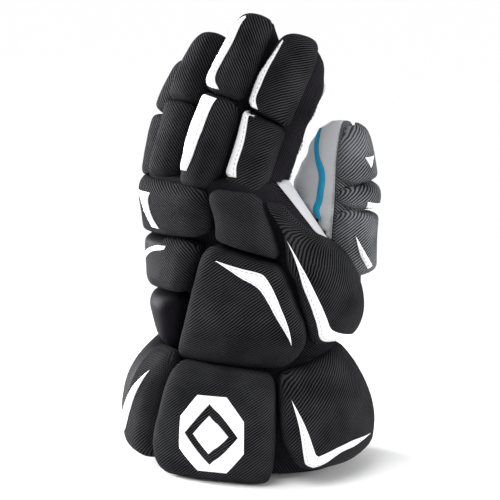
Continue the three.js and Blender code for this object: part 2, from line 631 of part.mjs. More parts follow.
// Inlays: outlines of [angle, along] on the pad that carries them
const INLAYS = [
  { name: 'index_base_strip', on: 'index_base_pad', outline: [
    [-60, 0.38], [-50, 0.425], [-8, 0.415], [-24, 0.39], [-20, 0.36], [-15, 0.23],
    [-15, 0.09], [-8, 0.02], [-30, 0.01], [-60, 0.03], [-62, 0.2]] },
  { name: 'index_tip_strip', on: 'index_tip_pad', outline: [
    [-19, 0.87], [-15, 0.86], [-16, 0.77], [-18, 0.70], [-20, 0.575], [-22, 0.50],
    [-8, 0.44], [-35, 0.45], [-65, 0.50], [-55, 0.575], [-36, 0.70], [-28, 0.77]] },
  { name: 'middle_base_strip', on: 'middle_base_pad', outline: [
    [-46, 0.40], [-36, 0.445], [6, 0.44], [2, 0.37], [0, 0.24], [-3, 0.10],
    [-8, 0.03], [-40, 0.02], [-48, 0.1], [-48, 0.25]] },
  { name: 'middle_tip_strip', on: 'middle_tip_pad', outline: [
    [-9, 0.91], [-4, 0.90], [-4, 0.86], [-3, 0.73], [-6, 0.64], [-8, 0.55],
    [4, 0.49], [-30, 0.50], [-52, 0.56], [-44, 0.64], [-34, 0.73], [-24, 0.86]] },
  { name: 'thumb_tip_mark', on: 'thumb_tip_pad', outline: [[-32, 0.80], [0, 0.80], [-18, 0.74]] },
  { name: 'thumb_side_mark', on: 'thumb_middle_pad', outline: [
    [-34, 0.555], [4, 0.53], [-4, 0.50], [-34, 0.52]] },
  { name: 'thumb_base_strip', on: 'thumb_base_pad', outline: [
    [-52, 0.36], [-32, 0.26], [-14, 0.18], [-26, 0.165], [-42, 0.25]] },
  { name: 'back_chevron', on: 'back_pad_centre', outline: [
    [1, 0.755], [11, 0.737], [21, 0.722], [22.5, 0.705], [25, 0.59], [32, 0.48],
    [21.5, 0.57], [16.5, 0.665], [14.5, 0.683], [9, 0.706]] },
  { name: 'thumb_chevron', on: 'back_pad_thumb', outline: [
    [55, 0.83], [43.5, 0.705], [43, 0.605], [48, 0.52], [53, 0.492], [62, 0.482],
    [78, 0.476], [86, 0.485], [69, 0.505], [58, 0.525], [54, 0.545], [50, 0.60],
    [48, 0.665], [49, 0.74]] },
  { name: 'knuckle_mark', on: 'knuckle_pad_little', outline: [
    [-62, 0.945], [-26, 0.95], [-31, 0.92], [-33, 0.875], [-29, 0.835], [-38, 0.835],
    [-43, 0.875], [-46, 0.925]] },
  { name: 'little_crescent', on: 'back_pad_little', outline: [
    [-28, 0.78], [-42, 0.77], [-66, 0.725], [-64, 0.71], [-44, 0.752], [-30, 0.768]] },
  { name: 'cuff_fork', on: 'cuff_little_finger_roll', outline: [
    [-41, 0.77], [-46, 0.58], [-50, 0.425], [-56, 0.295], [-64, 0.23], [-75, 0.33],
    [-80, 0.50], [-72, 0.44], [-65, 0.35], [-58, 0.47], [-51, 0.62]] },
  { name: 'cuff_corner', on: 'cuff_thumb_roll', outline: [
    [33, 0.66], [35, 0.49], [39, 0.20], [44, 0.155], [49, 0.175], [60, 0.245],
    [73, 0.26], [90, 0.28], [71, 0.305], [59, 0.29], [52, 0.265], [46, 0.24],
    [44, 0.26], [39, 0.45]] },
];

function buildInlay(name, hostName, plug) {
  const host = PADS.find((pad) => pad.name === hostName);
  const sleeve = sleeveOf(host.on);
  const over = padSolid(sleeve, host.rows, host.shape, SEAM_GAP + INLAY);
  const under = padSolid(sleeve, host.rows, host.shape, SEAM_GAP);
  finish(name, keepClear(over.subtract(under).intersect(plug), [hostName]), 'white_leather');
}

function buildInlays() {
  INLAYS.forEach((inlay) => {
    const sleeve = sleeveOf(PADS.find((pad) => pad.name === inlay.on).on);
    const plug = outlinePlug(sleeve, inlay.outline, 0);
    buildInlay(inlay.name, inlay.on, plug);
  });
}

// Plain patch on the centre roll: an eight-sided ring of leather round a diamond
const BADGE_PLACE = { angle: -2, along: 0.387 };
const BADGE_DEPTH = 0.6 * ROLL_HEIGHT;

function badgePlug(corners, radius, turn) {
  const centre = skinPoint(cuffSleeve, BADGE_PLACE.angle, BADGE_PLACE.along, 1, 0);
  const left = skinPoint(cuffSleeve, BADGE_PLACE.angle - 5, BADGE_PLACE.along, 1, 0);
  const right = skinPoint(cuffSleeve, BADGE_PLACE.angle + 5, BADGE_PLACE.along, 1, 0);
  const sideways = right.sub(left).normalize();
  const up = new THREE.Vector3(0, 0, 1);
  const outward = sideways.clone().cross(up);
  const rings = [-BADGE_DEPTH, BADGE_DEPTH].map((reach) => {
    const ring = [];
    for (let corner = 0; corner < corners; corner += 1) {
      const angle = 2 * Math.PI * (corner + turn) / corners;
      ring.push(centre.clone().addScaledVector(sideways, radius * Math.cos(angle))
        .addScaledVector(up, radius * Math.sin(angle)).addScaledVector(outward, reach));
    }
    return ring;
  });
  return ringSolid(rings);
}

function buildBadge() {
  const rim = badgePlug(8, BADGE_RADIUS, 0.5).subtract(badgePlug(4, BADGE_HOLE * BADGE_RADIUS, 0));
  buildInlay('badge_rim', 'cuff_centre_roll', rim);
  buildInlay('badge_diamond', 'cuff_centre_roll', badgePlug(4, BADGE_DIAMOND * BADGE_RADIUS, 0));
}

// Blue piping on the thumb's palm side: places of [angle, along] down its middle
const PIPING = [
  { name: 'thumb_piping_long', path: [[-158, 0.92], [-133, 0.86], [-114, 0.77], [-101, 0.70],
    [-98, 0.62], [-99, 0.54], [-101, 0.48], [-96, 0.43]] },
  { name: 'thumb_piping_short', path: [[-146, 0.56], [-130, 0.52], [-122, 0.475], [-116, 0.43]] },
];
const PIPING_DEPTH = 4;

function buildPiping() {
  const skin = digitSolid(thumbSleeve, SEAM_GAP + INLAY).subtract(digitSolid(thumbSleeve, SEAM_GAP));
  PIPING.forEach((piping) => {
    const halfAngle = THREE.MathUtils.radToDeg(PIPING_WIDTH / THUMB_WIDTH);
    const halfAlong = PIPING_WIDTH / THUMB_LENGTH / 3;
    const outline = [
      ...piping.path.map(([angle, along]) => [angle - halfAngle, along - halfAlong]),
      ...piping.path.map(([angle, along]) => [angle + halfAngle, along + halfAlong]).reverse(),
    ];
    const plug = outlinePlug(thumbSleeve, outline, PIPING_DEPTH);
    finish(piping.name, keepClear(skin.intersect(plug), ['thumb']), 'blue_trim');
  });
}

buildHand();
buildCuffLining();
buildDigits();
buildPads();
buildInlays();
buildBadge();
buildPiping();

function toMesh({ name, solid, material }) {
  const shape = solid.getMesh();
  const geometry = new THREE.BufferGeometry();
  const positions = new Float32Array(shape.vertProperties);
  geometry.setAttribute('position', new THREE.BufferAttribute(positions, 3));
  geometry.setIndex(new THREE.BufferAttribute(new Uint32Array(shape.triVerts), 1));
  const look = MATERIALS[material];
  const mesh = new THREE.Mesh(geometry, new THREE.MeshStandardMaterial({
    name: material,
    color: look.color,
    roughness: look.roughness,
    metalness: 0,
  }));
  mesh.name = name;
  return mesh;
}

// The finished glove is moved so that its origin lies under the middle of its outer box
function stand(group) {
  const box = new THREE.Box3().setFromObject(group);
  const middle = box.getCenter(new THREE.Vector3());
  group.children.forEach((mesh) => mesh.geometry.translate(-middle.x, -middle.y, -box.min.z));
  return group;
}

const group = new THREE.Group();
group.name = 'lacrosse_glove';
finished.forEach((piece) => group.add(toMesh(piece)));
stand(group);

export default group;
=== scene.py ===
"""A padded left-hand lacrosse glove: cushions, cloth, leather and light round its frame."""

import json
import math

import bpy
import numpy as np
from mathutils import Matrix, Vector
from mathutils.bvhtree import BVHTree
from mathutils.geometry import delaunay_2d_cdt

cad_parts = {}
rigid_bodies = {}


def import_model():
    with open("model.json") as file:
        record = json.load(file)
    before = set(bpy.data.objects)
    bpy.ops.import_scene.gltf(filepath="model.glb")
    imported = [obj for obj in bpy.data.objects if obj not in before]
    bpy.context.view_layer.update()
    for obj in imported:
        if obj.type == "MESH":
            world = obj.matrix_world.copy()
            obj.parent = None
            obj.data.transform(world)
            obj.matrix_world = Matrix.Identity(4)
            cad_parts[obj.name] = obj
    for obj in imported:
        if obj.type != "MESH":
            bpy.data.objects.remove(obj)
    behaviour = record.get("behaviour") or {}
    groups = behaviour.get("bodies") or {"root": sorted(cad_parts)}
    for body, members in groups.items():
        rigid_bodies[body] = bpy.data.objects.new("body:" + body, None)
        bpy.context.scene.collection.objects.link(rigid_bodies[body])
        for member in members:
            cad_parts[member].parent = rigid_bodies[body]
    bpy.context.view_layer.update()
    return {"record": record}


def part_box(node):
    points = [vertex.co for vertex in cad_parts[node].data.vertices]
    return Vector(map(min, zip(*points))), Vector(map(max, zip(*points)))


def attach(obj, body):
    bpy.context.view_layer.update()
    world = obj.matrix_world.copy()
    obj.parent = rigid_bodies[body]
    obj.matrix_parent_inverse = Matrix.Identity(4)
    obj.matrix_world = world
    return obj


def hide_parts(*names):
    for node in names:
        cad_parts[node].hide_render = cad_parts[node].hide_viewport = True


bl_info = {
    "name": "Lacrosse Glove",
    "version": (1, 0, 0),
    "blender": (4, 5, 0),
    "location": "View3D > Sidebar > Glove",
    "description": "Builds a padded lacrosse glove with its materials, light and camera",
    "category": "Add Mesh",
}

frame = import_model()
RECORD_COLOURS = {m["slot"]: m["base_color"] for m in frame["record"]["materials"]}

MM = 0.001

# Sizes of the sleeves in millimetres, the same as the solids have
CUFF_WIDTH = 176
CUFF_DEPTH = 133
CUFF_HEIGHT = 92
ROLL_HEIGHT = 24
HAND_WIDTH = 152
HAND_DEPTH = 90
HAND_TOP = 200
BACK_PAD_HEIGHT = 20
FINGER_LENGTH = 116
FINGER_WIDTH = 34
FINGER_DEPTH = 46
FINGER_PAD_HEIGHT = 13
THUMB_LENGTH = 121
THUMB_WIDTH = 44
THUMB_DEPTH = 60
THUMB_PAD_HEIGHT = 12
LEATHER = 2.2
LINING = 3
SEAM_GAP = 0.35
BADGE_RADIUS = 28


def table(columns, *rows):
    """Rows under named columns, as one array for each column."""
    values = np.array(rows, float)
    return {name: values[:, index] for index, name in enumerate(columns.split())}


STANDING_COLUMNS = "along x y half back palm side_pad back_pad palm_pad yaw square"
CUFF_RINGS = table(
    STANDING_COLUMNS,
    [0.000, 0, 0, 0.455, 0.481, 0.436, 0.67, 0.75, 0.42, 10, 0.85],
    [0.152, 0, 0, 0.489, 0.526, 0.451, 0.75, 0.92, 0.45, 10, 0.85],
    [0.391, 0, 0, 0.500, 0.534, 0.451, 0.83, 1.00, 0.50, 10, 0.85],
    [0.652, 0, -0.01, 0.472, 0.496, 0.406, 0.75, 0.92, 0.45, 10, 0.85],
    [0.891, 0.006, -0.02, 0.398, 0.421, 0.331, 0.50, 0.58, 0.30, 9, 0.85],
    [1.000, 0.017, -0.03, 0.341, 0.376, 0.300, 0.33, 0.33, 0.20, 8, 0.85],
)
HAND_RINGS = table(
    STANDING_COLUMNS,
    [0.370, 0.015, -0.033, 0.415, 0.50, 0.38, 0.50, 0.50, 0, 8, 0.85],
    [0.460, 0.046, -0.033, 0.460, 0.578, 0.39, 0.60, 0.85, 0, 8, 0.85],
    [0.575, 0.053, -0.033, 0.500, 0.600, 0.40, 0.60, 1.00, 0, 8, 0.85],
    [0.700, 0.033, -0.055, 0.487, 0.600, 0.41, 0.50, 1.00, 0, 5, 0.85],
    [0.840, -0.026, -0.122, 0.428, 0.533, 0.40, 0.30, 0.85, 0, -2, 0.80],
    [0.950, -0.088, -0.167, 0.380, 0.467, 0.38, 0.14, 0.65, 0, -8, 0.74],
    [1.000, -0.105, -0.178, 0.345, 0.400, 0.36, 0.14, 0.45, 0, -10, 0.74],
)
BENT_COLUMNS = "along half back palm_base palm_tip side_pad back_pad square"
FINGER_RINGS = table(
    BENT_COLUMNS,
    [-0.20, 0.90, 0.90, 0.90, 0.00, 1, 0.9, 0.78],
    [0.00, 1.00, 1.00, 1.00, 0.00, 1, 1.0, 0.75],
    [0.45, 1.00, 1.00, 0.50, 0.50, 1, 1.0, 0.75],
    [0.76, 1.00, 0.90, 0.00, 1.12, 1, 1.0, 0.80],
    [0.92, 0.84, 0.78, 0.00, 0.66, 1, 0.7, 0.85],
    [1.00, 0.38, 0.32, 0.00, 0.08, 0.5, 0.3, 1.00],
)
THUMB_RINGS = table(
    BENT_COLUMNS,
    [-0.20, 0.42, 0.42, 0.36, 0.00, 1, 0.9, 0.80],
    [0.00, 0.500, 0.483, 0.433, 0.00, 1, 1.0, 0.80],
    [0.37, 0.500, 0.500, 0.483, 0.00, 1, 1.0, 0.80],
    [0.58, 0.477, 0.500, 0.517, 0.00, 1, 1.0, 0.80],
    [0.81, 0.432, 0.400, 0.383, 0.00, 1, 1.0, 0.85],
    [0.94, 0.340, 0.290, 0.270, 0.00, 1, 0.7, 0.90],
    [1.00, 0.200, 0.140, 0.150, 0.00, 0.5, 0.3, 1.00],
)

# Fingers and thumb: place in the hand, angles in degrees, sizes as shares of the finger's
DIGIT_COLUMNS = (
    "x y z yaw lean length width back palm_base palm_tip curl_root curl_mid curl_tip"
)
DIGITS = {
    "index": [0.107, -0.178, 0.98, 2, 12, 0.895, 1.13, 0.61, 0.45, 0.59, 12, 20, 38],
    "middle": [-0.095, -0.267, 0.99, -6, 10, 1.0, 1.0, 0.61, 0.37, 0.43, 10, 19, 33],
    "ring": [-0.283, -0.189, 0.98, -12, 4, 0.88, 0.94, 0.59, 0.35, 0.39, 12, 22, 36],
    "pinky": [-0.414, 0.056, 0.94, -22, 0, 0.741, 0.88, 0.54, 0.33, 0.35, 10, 20, 34],
    "thumb": [0.329, 0.333, 0.59, 98, 0, 1, 1, 1, 1, 1, 0, -3, -5],
}

# Where the roots of the fingers come from: the palm's middle, as shares of the hand's sizes,
# and how far below each finger it is; and the places along a finger of its three curls
PALM_MIDDLE = (0.04, -0.03)
PALM_DROP = 0.17
CURL_PLACES = (0, 0.47, 1.0)


def curve(share, start, leave, end, arrive):
    """A smooth way from start to end; leave and arrive are its slopes there."""
    square, cube = share**2, share**3
    return (
        (2 * cube - 3 * square + 1) * start
        + (cube - 2 * square + share) * leave
        + (3 * square - 2 * cube) * end
        + (cube - square) * arrive
    )


def smooth_column(rows, name, along):
    """Smooth curve through one column of a table."""
    knots, values = rows["along"], rows[name]
    last = len(knots) - 1
    place = np.clip(along, knots[0], knots[last])
    low = np.searchsorted(knots[1:last], place, side="left")
    high = low + 1
    before, after = np.maximum(low - 1, 0), np.minimum(low + 2, last)
    span = knots[high] - knots[low]
    leave = (values[high] - values[before]) / (knots[high] - knots[before]) * span
    arrive = (values[after] - values[low]) / (knots[after] - knots[low]) * span
    return curve((place - knots[low]) / span, values[low], leave, values[high], arrive)


def unit(vectors):
    return vectors / np.linalg.norm(vectors, axis=-1, keepdims=True)


def reaches(at, lowered, extra):
    """Half width, and reach to the back and to the palm, of cross-sections."""
    return (
        at["half"] - at["side_pad"] * lowered + extra,
        at["back"] - at["back_pad"] * lowered + extra,
        at["palm"] - at["palm_pad"] * lowered + extra,
    )


def filled(at, gap, extra):
    """True for each gap from a cross-section's centre that ends in it, swelled by extra."""
    across, outward = np.sum(gap * at["side"], -1), np.sum(gap * at["out"], -1)
    half, back, palm = reaches(at, 1, extra)
    power = 2 / at["square"]
    reach = np.where(outward >= 0, back, palm)
    return np.abs(across / half) ** power + np.abs(outward / reach) ** power < 1


class Sleeve:
    """Cross-sections along a line, from a table whose columns are scaled by sizes."""

    def __init__(self, rings, sizes, dome):
        self.rings, self.sizes, self.dome = rings, sizes, dome

    def columns(self, along):
        return {
            name: smooth_column(self.rings, name, along) * size
            for name, size in self.sizes.items()
        }


class StandingSleeve(Sleeve):
    """A sleeve that stands upright: every ring lies level at its own height."""

    def __init__(self, rings, width, depth, height, pad_height, dome):
        sizes = {"x": width, "y": depth, "half": width, "back": depth, "palm": depth}
        sizes.update(dict.fromkeys(("side_pad", "back_pad", "palm_pad"), pad_height))
        super().__init__(rings, {**sizes, "yaw": 1, "square": 1}, dome)
        self.height = height

    def frame(self, along):
        at = self.columns(along)
        yaw = np.radians(at["yaw"])
        sine, cosine, level = np.sin(yaw), np.cos(yaw), np.zeros_like(yaw)
        at["centre"] = np.stack([at["x"], at["y"], along * self.height], -1)
        at["side"] = np.stack([cosine, sine, level], -1)
        at["out"] = np.stack([sine, -cosine, level], -1)
        return at

    def holds(self, points, extra):
        """True for each point inside the sleeve when it is swelled by extra mm."""
        along = points[..., 2] / self.height
        at = self.frame(along)
        return filled(at, points - at["centre"], extra) & (along < 1)


class BentSleeve(Sleeve):
    """A sleeve for a finger or the thumb, which bends toward the palm along its length."""

    STEPS = 40
    # Cross-sections that a point is tested in, up to near the tip, and how thick they are
    SECTIONS, NEAR_TIP, SECTION_REACH = 60, 0.94, 6

    def __init__(self, place, rings, sizes, length, dome):
        super().__init__(rings, sizes, dome)
        self.length = length
        hand = np.array([HAND_WIDTH, HAND_DEPTH, HAND_TOP])
        base = hand * [place["x"], place["y"], place["z"]]
        self.root_direction = unit(base - hand * [*PALM_MIDDLE, place["z"] - PALM_DROP])
        yaw, lean = math.radians(place["yaw"]), math.radians(place["lean"])
        self.sideways = np.array([math.cos(yaw), math.sin(yaw), 0])
        self.outward = np.array([math.sin(yaw), -math.cos(yaw), 0])
        self.upright = np.array([math.sin(lean), 0, math.cos(lean)])
        curls = [place["curl_root"], place["curl_mid"], place["curl_tip"]]
        self.curls = {"along": np.array(CURL_PLACES), "curl": np.array(curls)}
        self.root_end = rings["along"][0]
        self.root_centres = self.walk(base, self.root_end)
        self.tip_centres = self.walk(base, 1.0)

    def direction(self, along):
        along = np.asarray(along)[..., None]
        curl = np.radians(smooth_column(self.curls, "curl", np.maximum(along, 0)))
        direction = self.upright * np.cos(curl) - self.outward * np.sin(curl)
        share = np.maximum(along / self.root_end, 0)
        return unit(direction * (1 - share) + self.root_direction * share)

    def walk(self, base, end):
        """Points down the sleeve's middle, from its base to a place along it."""
        middles = end * (np.arange(self.STEPS) + 0.5) / self.STEPS
        strides = self.direction(middles) * end * self.length / self.STEPS
        return np.cumsum([base, *strides], axis=0)

    def centre(self, along):
        def follow(centres, end):
            place = along / end * self.STEPS
            index = np.clip(np.floor(place), 0, self.STEPS - 1).astype(int)
            stride = centres[index + 1] - centres[index]
            return centres[index] + stride * (place - index)[..., None]

        root = follow(self.root_centres, self.root_end)
        return np.where((along < 0)[..., None], root, follow(self.tip_centres, 1.0))

    def frame(self, along):
        at = self.columns(along)
        direction = self.direction(along)
        lean = np.sum(self.sideways * direction, -1, keepdims=True)
        at["centre"] = self.centre(along)
        at["side"] = unit(self.sideways - direction * lean)
        at["out"] = np.cross(at["side"], direction)
        at["palm"] = at["palm_base"] + at["palm_tip"]
        at["palm_pad"] = np.zeros_like(along)
        return at

    def holds(self, points, extra):
        """True for each point inside the sleeve when it is swelled by extra mm."""
        at = self.frame(np.linspace(self.root_end, self.NEAR_TIP, self.SECTIONS))
        flat = points.reshape(-1, 3)
        nearest = np.linalg.norm(flat[:, None] - at["centre"], axis=-1).argmin(1)
        at = {name: column[nearest] for name, column in at.items()}
        gap = flat - at["centre"]
        forward = np.sum(gap * np.cross(at["out"], at["side"]), -1)
        inside = filled(at, gap, extra) & (np.abs(forward) < self.SECTION_REACH)
        return inside.reshape(points.shape[:-1])


def digit_sleeve(name, reach=1.0, dome=3.5):
    """The bent sleeve of one finger or of the thumb, up to a share of its whole length."""
    place = dict(zip(DIGIT_COLUMNS.split(), DIGITS[name]))
    if name == "thumb":
        width, depth, pad = 2 * THUMB_WIDTH, THUMB_DEPTH, THUMB_PAD_HEIGHT
        length, rings, side = THUMB_LENGTH, THUMB_RINGS, 0.25
    else:
        width, depth, pad = FINGER_WIDTH, FINGER_DEPTH, FINGER_PAD_HEIGHT
        length, rings, side = FINGER_LENGTH, FINGER_RINGS, 0.23
    sizes = {key: place[key] * depth for key in ("back", "palm_base", "palm_tip")}
    sizes.update(half=place["width"] * width / 2, side_pad=side * pad, back_pad=pad, square=1)
    return BentSleeve(place, rings, sizes, place["length"] * length * reach, dome)


SLEEVES = {
    "cuff": StandingSleeve(CUFF_RINGS, CUFF_WIDTH, CUFF_DEPTH, CUFF_HEIGHT, ROLL_HEIGHT, 0),
    "hand": StandingSleeve(HAND_RINGS, HAND_WIDTH, HAND_DEPTH, HAND_TOP, BACK_PAD_HEIGHT, 2),
    **{name: digit_sleeve(name) for name in DIGITS},
}


LEAST_REACH = 0.3


def skin(sleeve, angle, along, level, extra):
    """Points on a sleeve. Level 0 is its leather and 1 the crown of its pads; extra is in mm.

    The angle runs from the middle of the back (0) toward the thumb side (90). Past 1,
    along goes over the closed tip: 2 is its pole.
    """
    angle, along, level, extra = np.broadcast_arrays(angle, along, level, extra)
    at = sleeve.frame(np.minimum(along, 1.0))
    cap = np.clip(along - 1, 0, 1) * math.pi / 2
    sine, cosine = np.sin(np.radians(angle)), np.cos(np.radians(angle))
    half, back, palm = reaches(at, 1 - level, extra)

    def part(size, share):
        size = np.maximum(size, LEAST_REACH) * np.cos(cap)
        return (size * np.sign(share) * np.abs(share) ** at["square"])[..., None]

    across, outward = part(half, sine), part(np.where(cosine >= 0, back, palm), cosine)
    rise = np.where(along > 1, np.sin(cap) * sleeve.dome + np.minimum(extra, 0), 0)
    forward = np.cross(at["out"], at["side"]) * rise[..., None]
    return at["centre"] + at["side"] * across + at["out"] * outward + forward


LINING_STATIONS = (0.05, 0.3, 0.58, 0.89)


def origin_shift():
    """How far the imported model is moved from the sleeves' own origin, in mm."""
    angle, along = np.arange(16) * 22.5, np.array(LINING_STATIONS)[:, None]
    rings = skin(SLEEVES["cuff"], angle, along, 0, 0).reshape(-1, 3)
    low, high = (np.array(corner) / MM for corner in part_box("cuff_lining"))
    low, high = low - rings.min(0), high - rings.max(0)
    if np.abs(low - high)[:2].max() > 0.05:
        raise RuntimeError("the cuff's rings here differ from those of the solids")
    return low


SHIFT = origin_shift()
WAVES = 9


def ripples(points, size, seed):
    """Smooth random waves of about -1 to 1, whose lengths are near size in mm."""
    rng = np.random.default_rng(seed)
    waves = np.zeros(points.shape[:-1])
    for _ in range(WAVES):
        direction = unit(rng.normal(size=3))
        length = size * rng.uniform(0.7, 1.6)
        phase = rng.uniform(0, 2 * math.pi)
        waves += np.sin(points @ direction * 2 * math.pi / length + phase)
    return waves / math.sqrt(WAVES)


def sheet_faces(keep, wraps):
    """Faces of a two-sided sheet over a grid of cells, with rims round what is left out.

    The outer faces come first, then as many inner ones, then the rims.
    """
    rows, cells = keep.shape
    columns = cells if wraps else cells + 1
    count = (rows + 1) * columns
    row, cell = np.nonzero(keep)
    a, b = row * columns + cell, row * columns + (cell + 1) % columns
    c, d = b + columns, a + columns
    padded = np.pad(keep, ((1, 1), (0, 0)))
    padded = np.pad(padded, ((0, 0), (1, 1)), "wrap" if wraps else "constant")
    faces = [np.stack([a, b, c, d], 1), np.stack([a, d, c, b], 1) + count]
    for start, end, down, over in ((a, b, -1, 0), (b, c, 0, 1), (c, d, 1, 0), (d, a, 0, -1)):
        bare = ~padded[row + 1 + down, cell + 1 + over]
        p, q = start[bare], end[bare]
        faces.append(np.stack([q, p, p + count, q + count], 1))
    return np.concatenate(faces)


def full_sheet(rows, cells, wraps=False):
    """Faces of a sheet that keeps all its cells."""
    return sheet_faces(np.ones((rows, cells), bool), wraps)


def cell_centres(points, wraps=False):
    """Middle of every cell of a grid of points."""
    if wraps:
        points = np.concatenate([points, points[:, :1]], axis=1)
    rows = (points[1:] + points[:-1]) / 2
    return (rows[:, 1:] + rows[:, :-1]) / 2


def run_lengths(points, axis):
    """Length along the rows or columns of a grid of points, from its middle."""
    steps = np.linalg.norm(np.diff(points, axis=axis), axis=-1)
    start = np.zeros_like(np.take(steps, [0], axis=axis))
    lengths = np.concatenate([start, np.cumsum(steps, axis=axis)], axis=axis)
    return lengths - np.take(lengths, [lengths.shape[axis] // 2], axis=axis)


def flat_places(points):
    """Flat coordinates in mm of the points of a grid."""
    return np.stack([run_lengths(points, 1), run_lengths(points, 0)], -1).reshape(-1, 2)


def look_name(node):
    """Name of the piece that shows a node of the model."""
    return node + "_look"


def look_material(slot):
    """The scene's own material for a slot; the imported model's has the slot's bare name."""
    return bpy.data.materials[look_name(slot)]


def show(name, data):
    """A new object in the scene."""
    shown = bpy.data.objects.new(name, data)
    bpy.context.scene.collection.objects.link(shown)
    return shown


def new_piece(name, parts, faces, slot, weave=None, look=None):
    """A mesh object in the frame from parts of points in the sleeves' millimetres.

    A weave holds flat coordinates for the points of the first part; the second has the same.
    """
    used, places = np.unique(faces, return_inverse=True)
    points = np.concatenate([part.reshape(-1, 3) for part in parts])[used]
    faces = places.reshape(faces.shape)
    volume = 0
    for third in range(2, faces.shape[1]):
        a, b, c = (points[faces[:, corner]] for corner in (0, third - 1, third))
        volume += np.sum(np.cross(a, b) * c)
    if volume < 0:
        faces = faces[:, ::-1]
    mesh = bpy.data.meshes.new(look_name(name))
    mesh.from_pydata(((points + SHIFT) * MM).tolist(), [], faces.tolist())
    if weave is not None:
        corners = np.zeros(len(mesh.loops), np.int32)
        mesh.loops.foreach_get("vertex_index", corners)
        flat = np.concatenate([weave, weave])[used][corners].astype(np.float32)
        mesh.uv_layers.new(name="weave").uv.foreach_set("vector", flat.ravel())
    mesh.shade_smooth()
    mesh.materials.append(look_material(look or slot))
    piece = show(look_name(name), mesh)
    return piece


def seat_piece(piece, node):
    """The piece rides on the glove and stands for its solid."""
    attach(piece, "root")
    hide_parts(node)


def second_look(piece, slot, marked):
    """Another material on the marked ones of a piece's first faces."""
    mesh = piece.data
    mesh.materials.append(look_material(slot))
    indices = np.zeros(len(mesh.polygons), np.int32)
    indices[: marked.size] = marked
    mesh.polygons.foreach_set("material_index", indices)


# Sleeves and palms

# Where wrinkles have faded over a closed tip, and the stretch in which they fade
FADE_END, FADE_SPAN = 1.9, 0.5
WALL_RINGS = 56


def wall_piece(
    name, slot, sleeve, angles, alongs, wrinkle, drop,
    thickness=LEATHER, wraps=False, cover=None,
):
    """A sleeve's wall between two angles, without the cells that drop marks.

    A wrinkle is a depth, a size and a seed. A cover is another material for the outside.
    """
    angle, along = np.broadcast_arrays(angles, alongs[:, None])
    base = skin(sleeve, angle, along, 0, 0)
    depth, size, seed = wrinkle
    fade = np.clip((FADE_END - along) / FADE_SPAN, 0, 1)
    extra = depth * ripples(base, size, seed) * fade
    outer = skin(sleeve, angle, along, 0, extra)
    inner = skin(sleeve, angle, along, 0, extra - thickness)
    keep = ~drop(cell_centres(outer, wraps))
    faces = sheet_faces(keep, wraps)
    piece = new_piece(name, (outer, inner), faces, slot, flat_places(base))
    if cover:
        outside = np.ones(len(piece.data.polygons))
        outside[keep.sum() : 2 * keep.sum()] = 0
        second_look(piece, cover, outside)
    seat_piece(piece, name)


def wall_alongs(start, tip_rows):
    """Places of a wall's rings along its sleeve, and over its closed tip."""
    over_tip = 1 + np.linspace(0, 0.98, tip_rows)[1:]
    return np.concatenate([np.linspace(start, 1, WALL_RINGS), over_tip])


def wall_angles(palm_from, palm_to, gap, palm_count, back_count):
    """Angles across the palm's wall and across the back's, with a seam between the two."""
    palm = np.linspace(palm_from + gap, palm_to - gap, palm_count, axis=-1)
    return palm, np.linspace(palm_to + gap - 360, palm_from - gap, back_count, axis=-1)


def in_any_finger(points):
    return np.any([SLEEVES[name].holds(points, -LEATHER) for name in DIGITS], axis=0)


def in_hand(points):
    return SLEEVES["hand"].holds(points, SEAM_GAP)


# Angles where the hand's suede starts and ends, and how much further round it comes between
# the index finger and the thumb, from a place along the hand and over a stretch of it
HAND_PALM = (118, 250)
CROTCH_TURN, CROTCH_START, CROTCH_SPAN = 27, 0.75, 0.09


def build_hand():
    """The glove's body: cloth liner on the back and sides, suede on the palm, cuff lining."""
    hand, alongs = SLEEVES["hand"], wall_alongs(0.33, 16)
    rise = np.clip((alongs - CROTCH_START) / CROTCH_SPAN, 0, 1)
    palm_from = HAND_PALM[0] - CROTCH_TURN * rise * rise * (3 - 2 * rise)
    palm, back = wall_angles(palm_from, HAND_PALM[1], 0.75 * SEAM_GAP, 52, 76)
    wall_piece("palm_suede", "suede", hand, palm, alongs, (0.9, 34, 11), in_any_finger)
    wall_piece("hand_liner", "fine_cloth", hand, back, alongs, (0.3, 22, 12), in_any_finger)
    angles = np.linspace(0, 360, 141)[:-1]
    alongs = np.linspace(LINING_STATIONS[0], LINING_STATIONS[-1], 26)
    wall_piece(
        "cuff_lining", "lining", SLEEVES["cuff"], angles, alongs, (0.3, 26, 13), in_hand,
        LINING, wraps=True, cover="fine_cloth",
    )


# Angles where the suede starts and ends, on a finger and on the thumb
PALM_ANGLES = ((123, 245), (82, 278))


def build_digit(name, seed):
    """One finger or the thumb: a cloth sleeve on the back and sides, suede on the palm."""
    # The cloth stops a little short of the pads' ends
    sleeve = digit_sleeve(name, reach=0.96, dome=1.2)
    alongs = wall_alongs(sleeve.root_end, 7)
    palm, back = wall_angles(*PALM_ANGLES[name == "thumb"], 2.5 * SEAM_GAP, 26, 40)
    slot = "thumb_mesh" if name == "thumb" else "fine_cloth"
    wall_piece(f"{name}_palm", "suede", sleeve, palm, alongs, (0.5, 15, seed), in_hand)
    wall_piece(f"{name}_sleeve", slot, sleeve, back, alongs, (0.35, 17, seed + 1), in_hand)


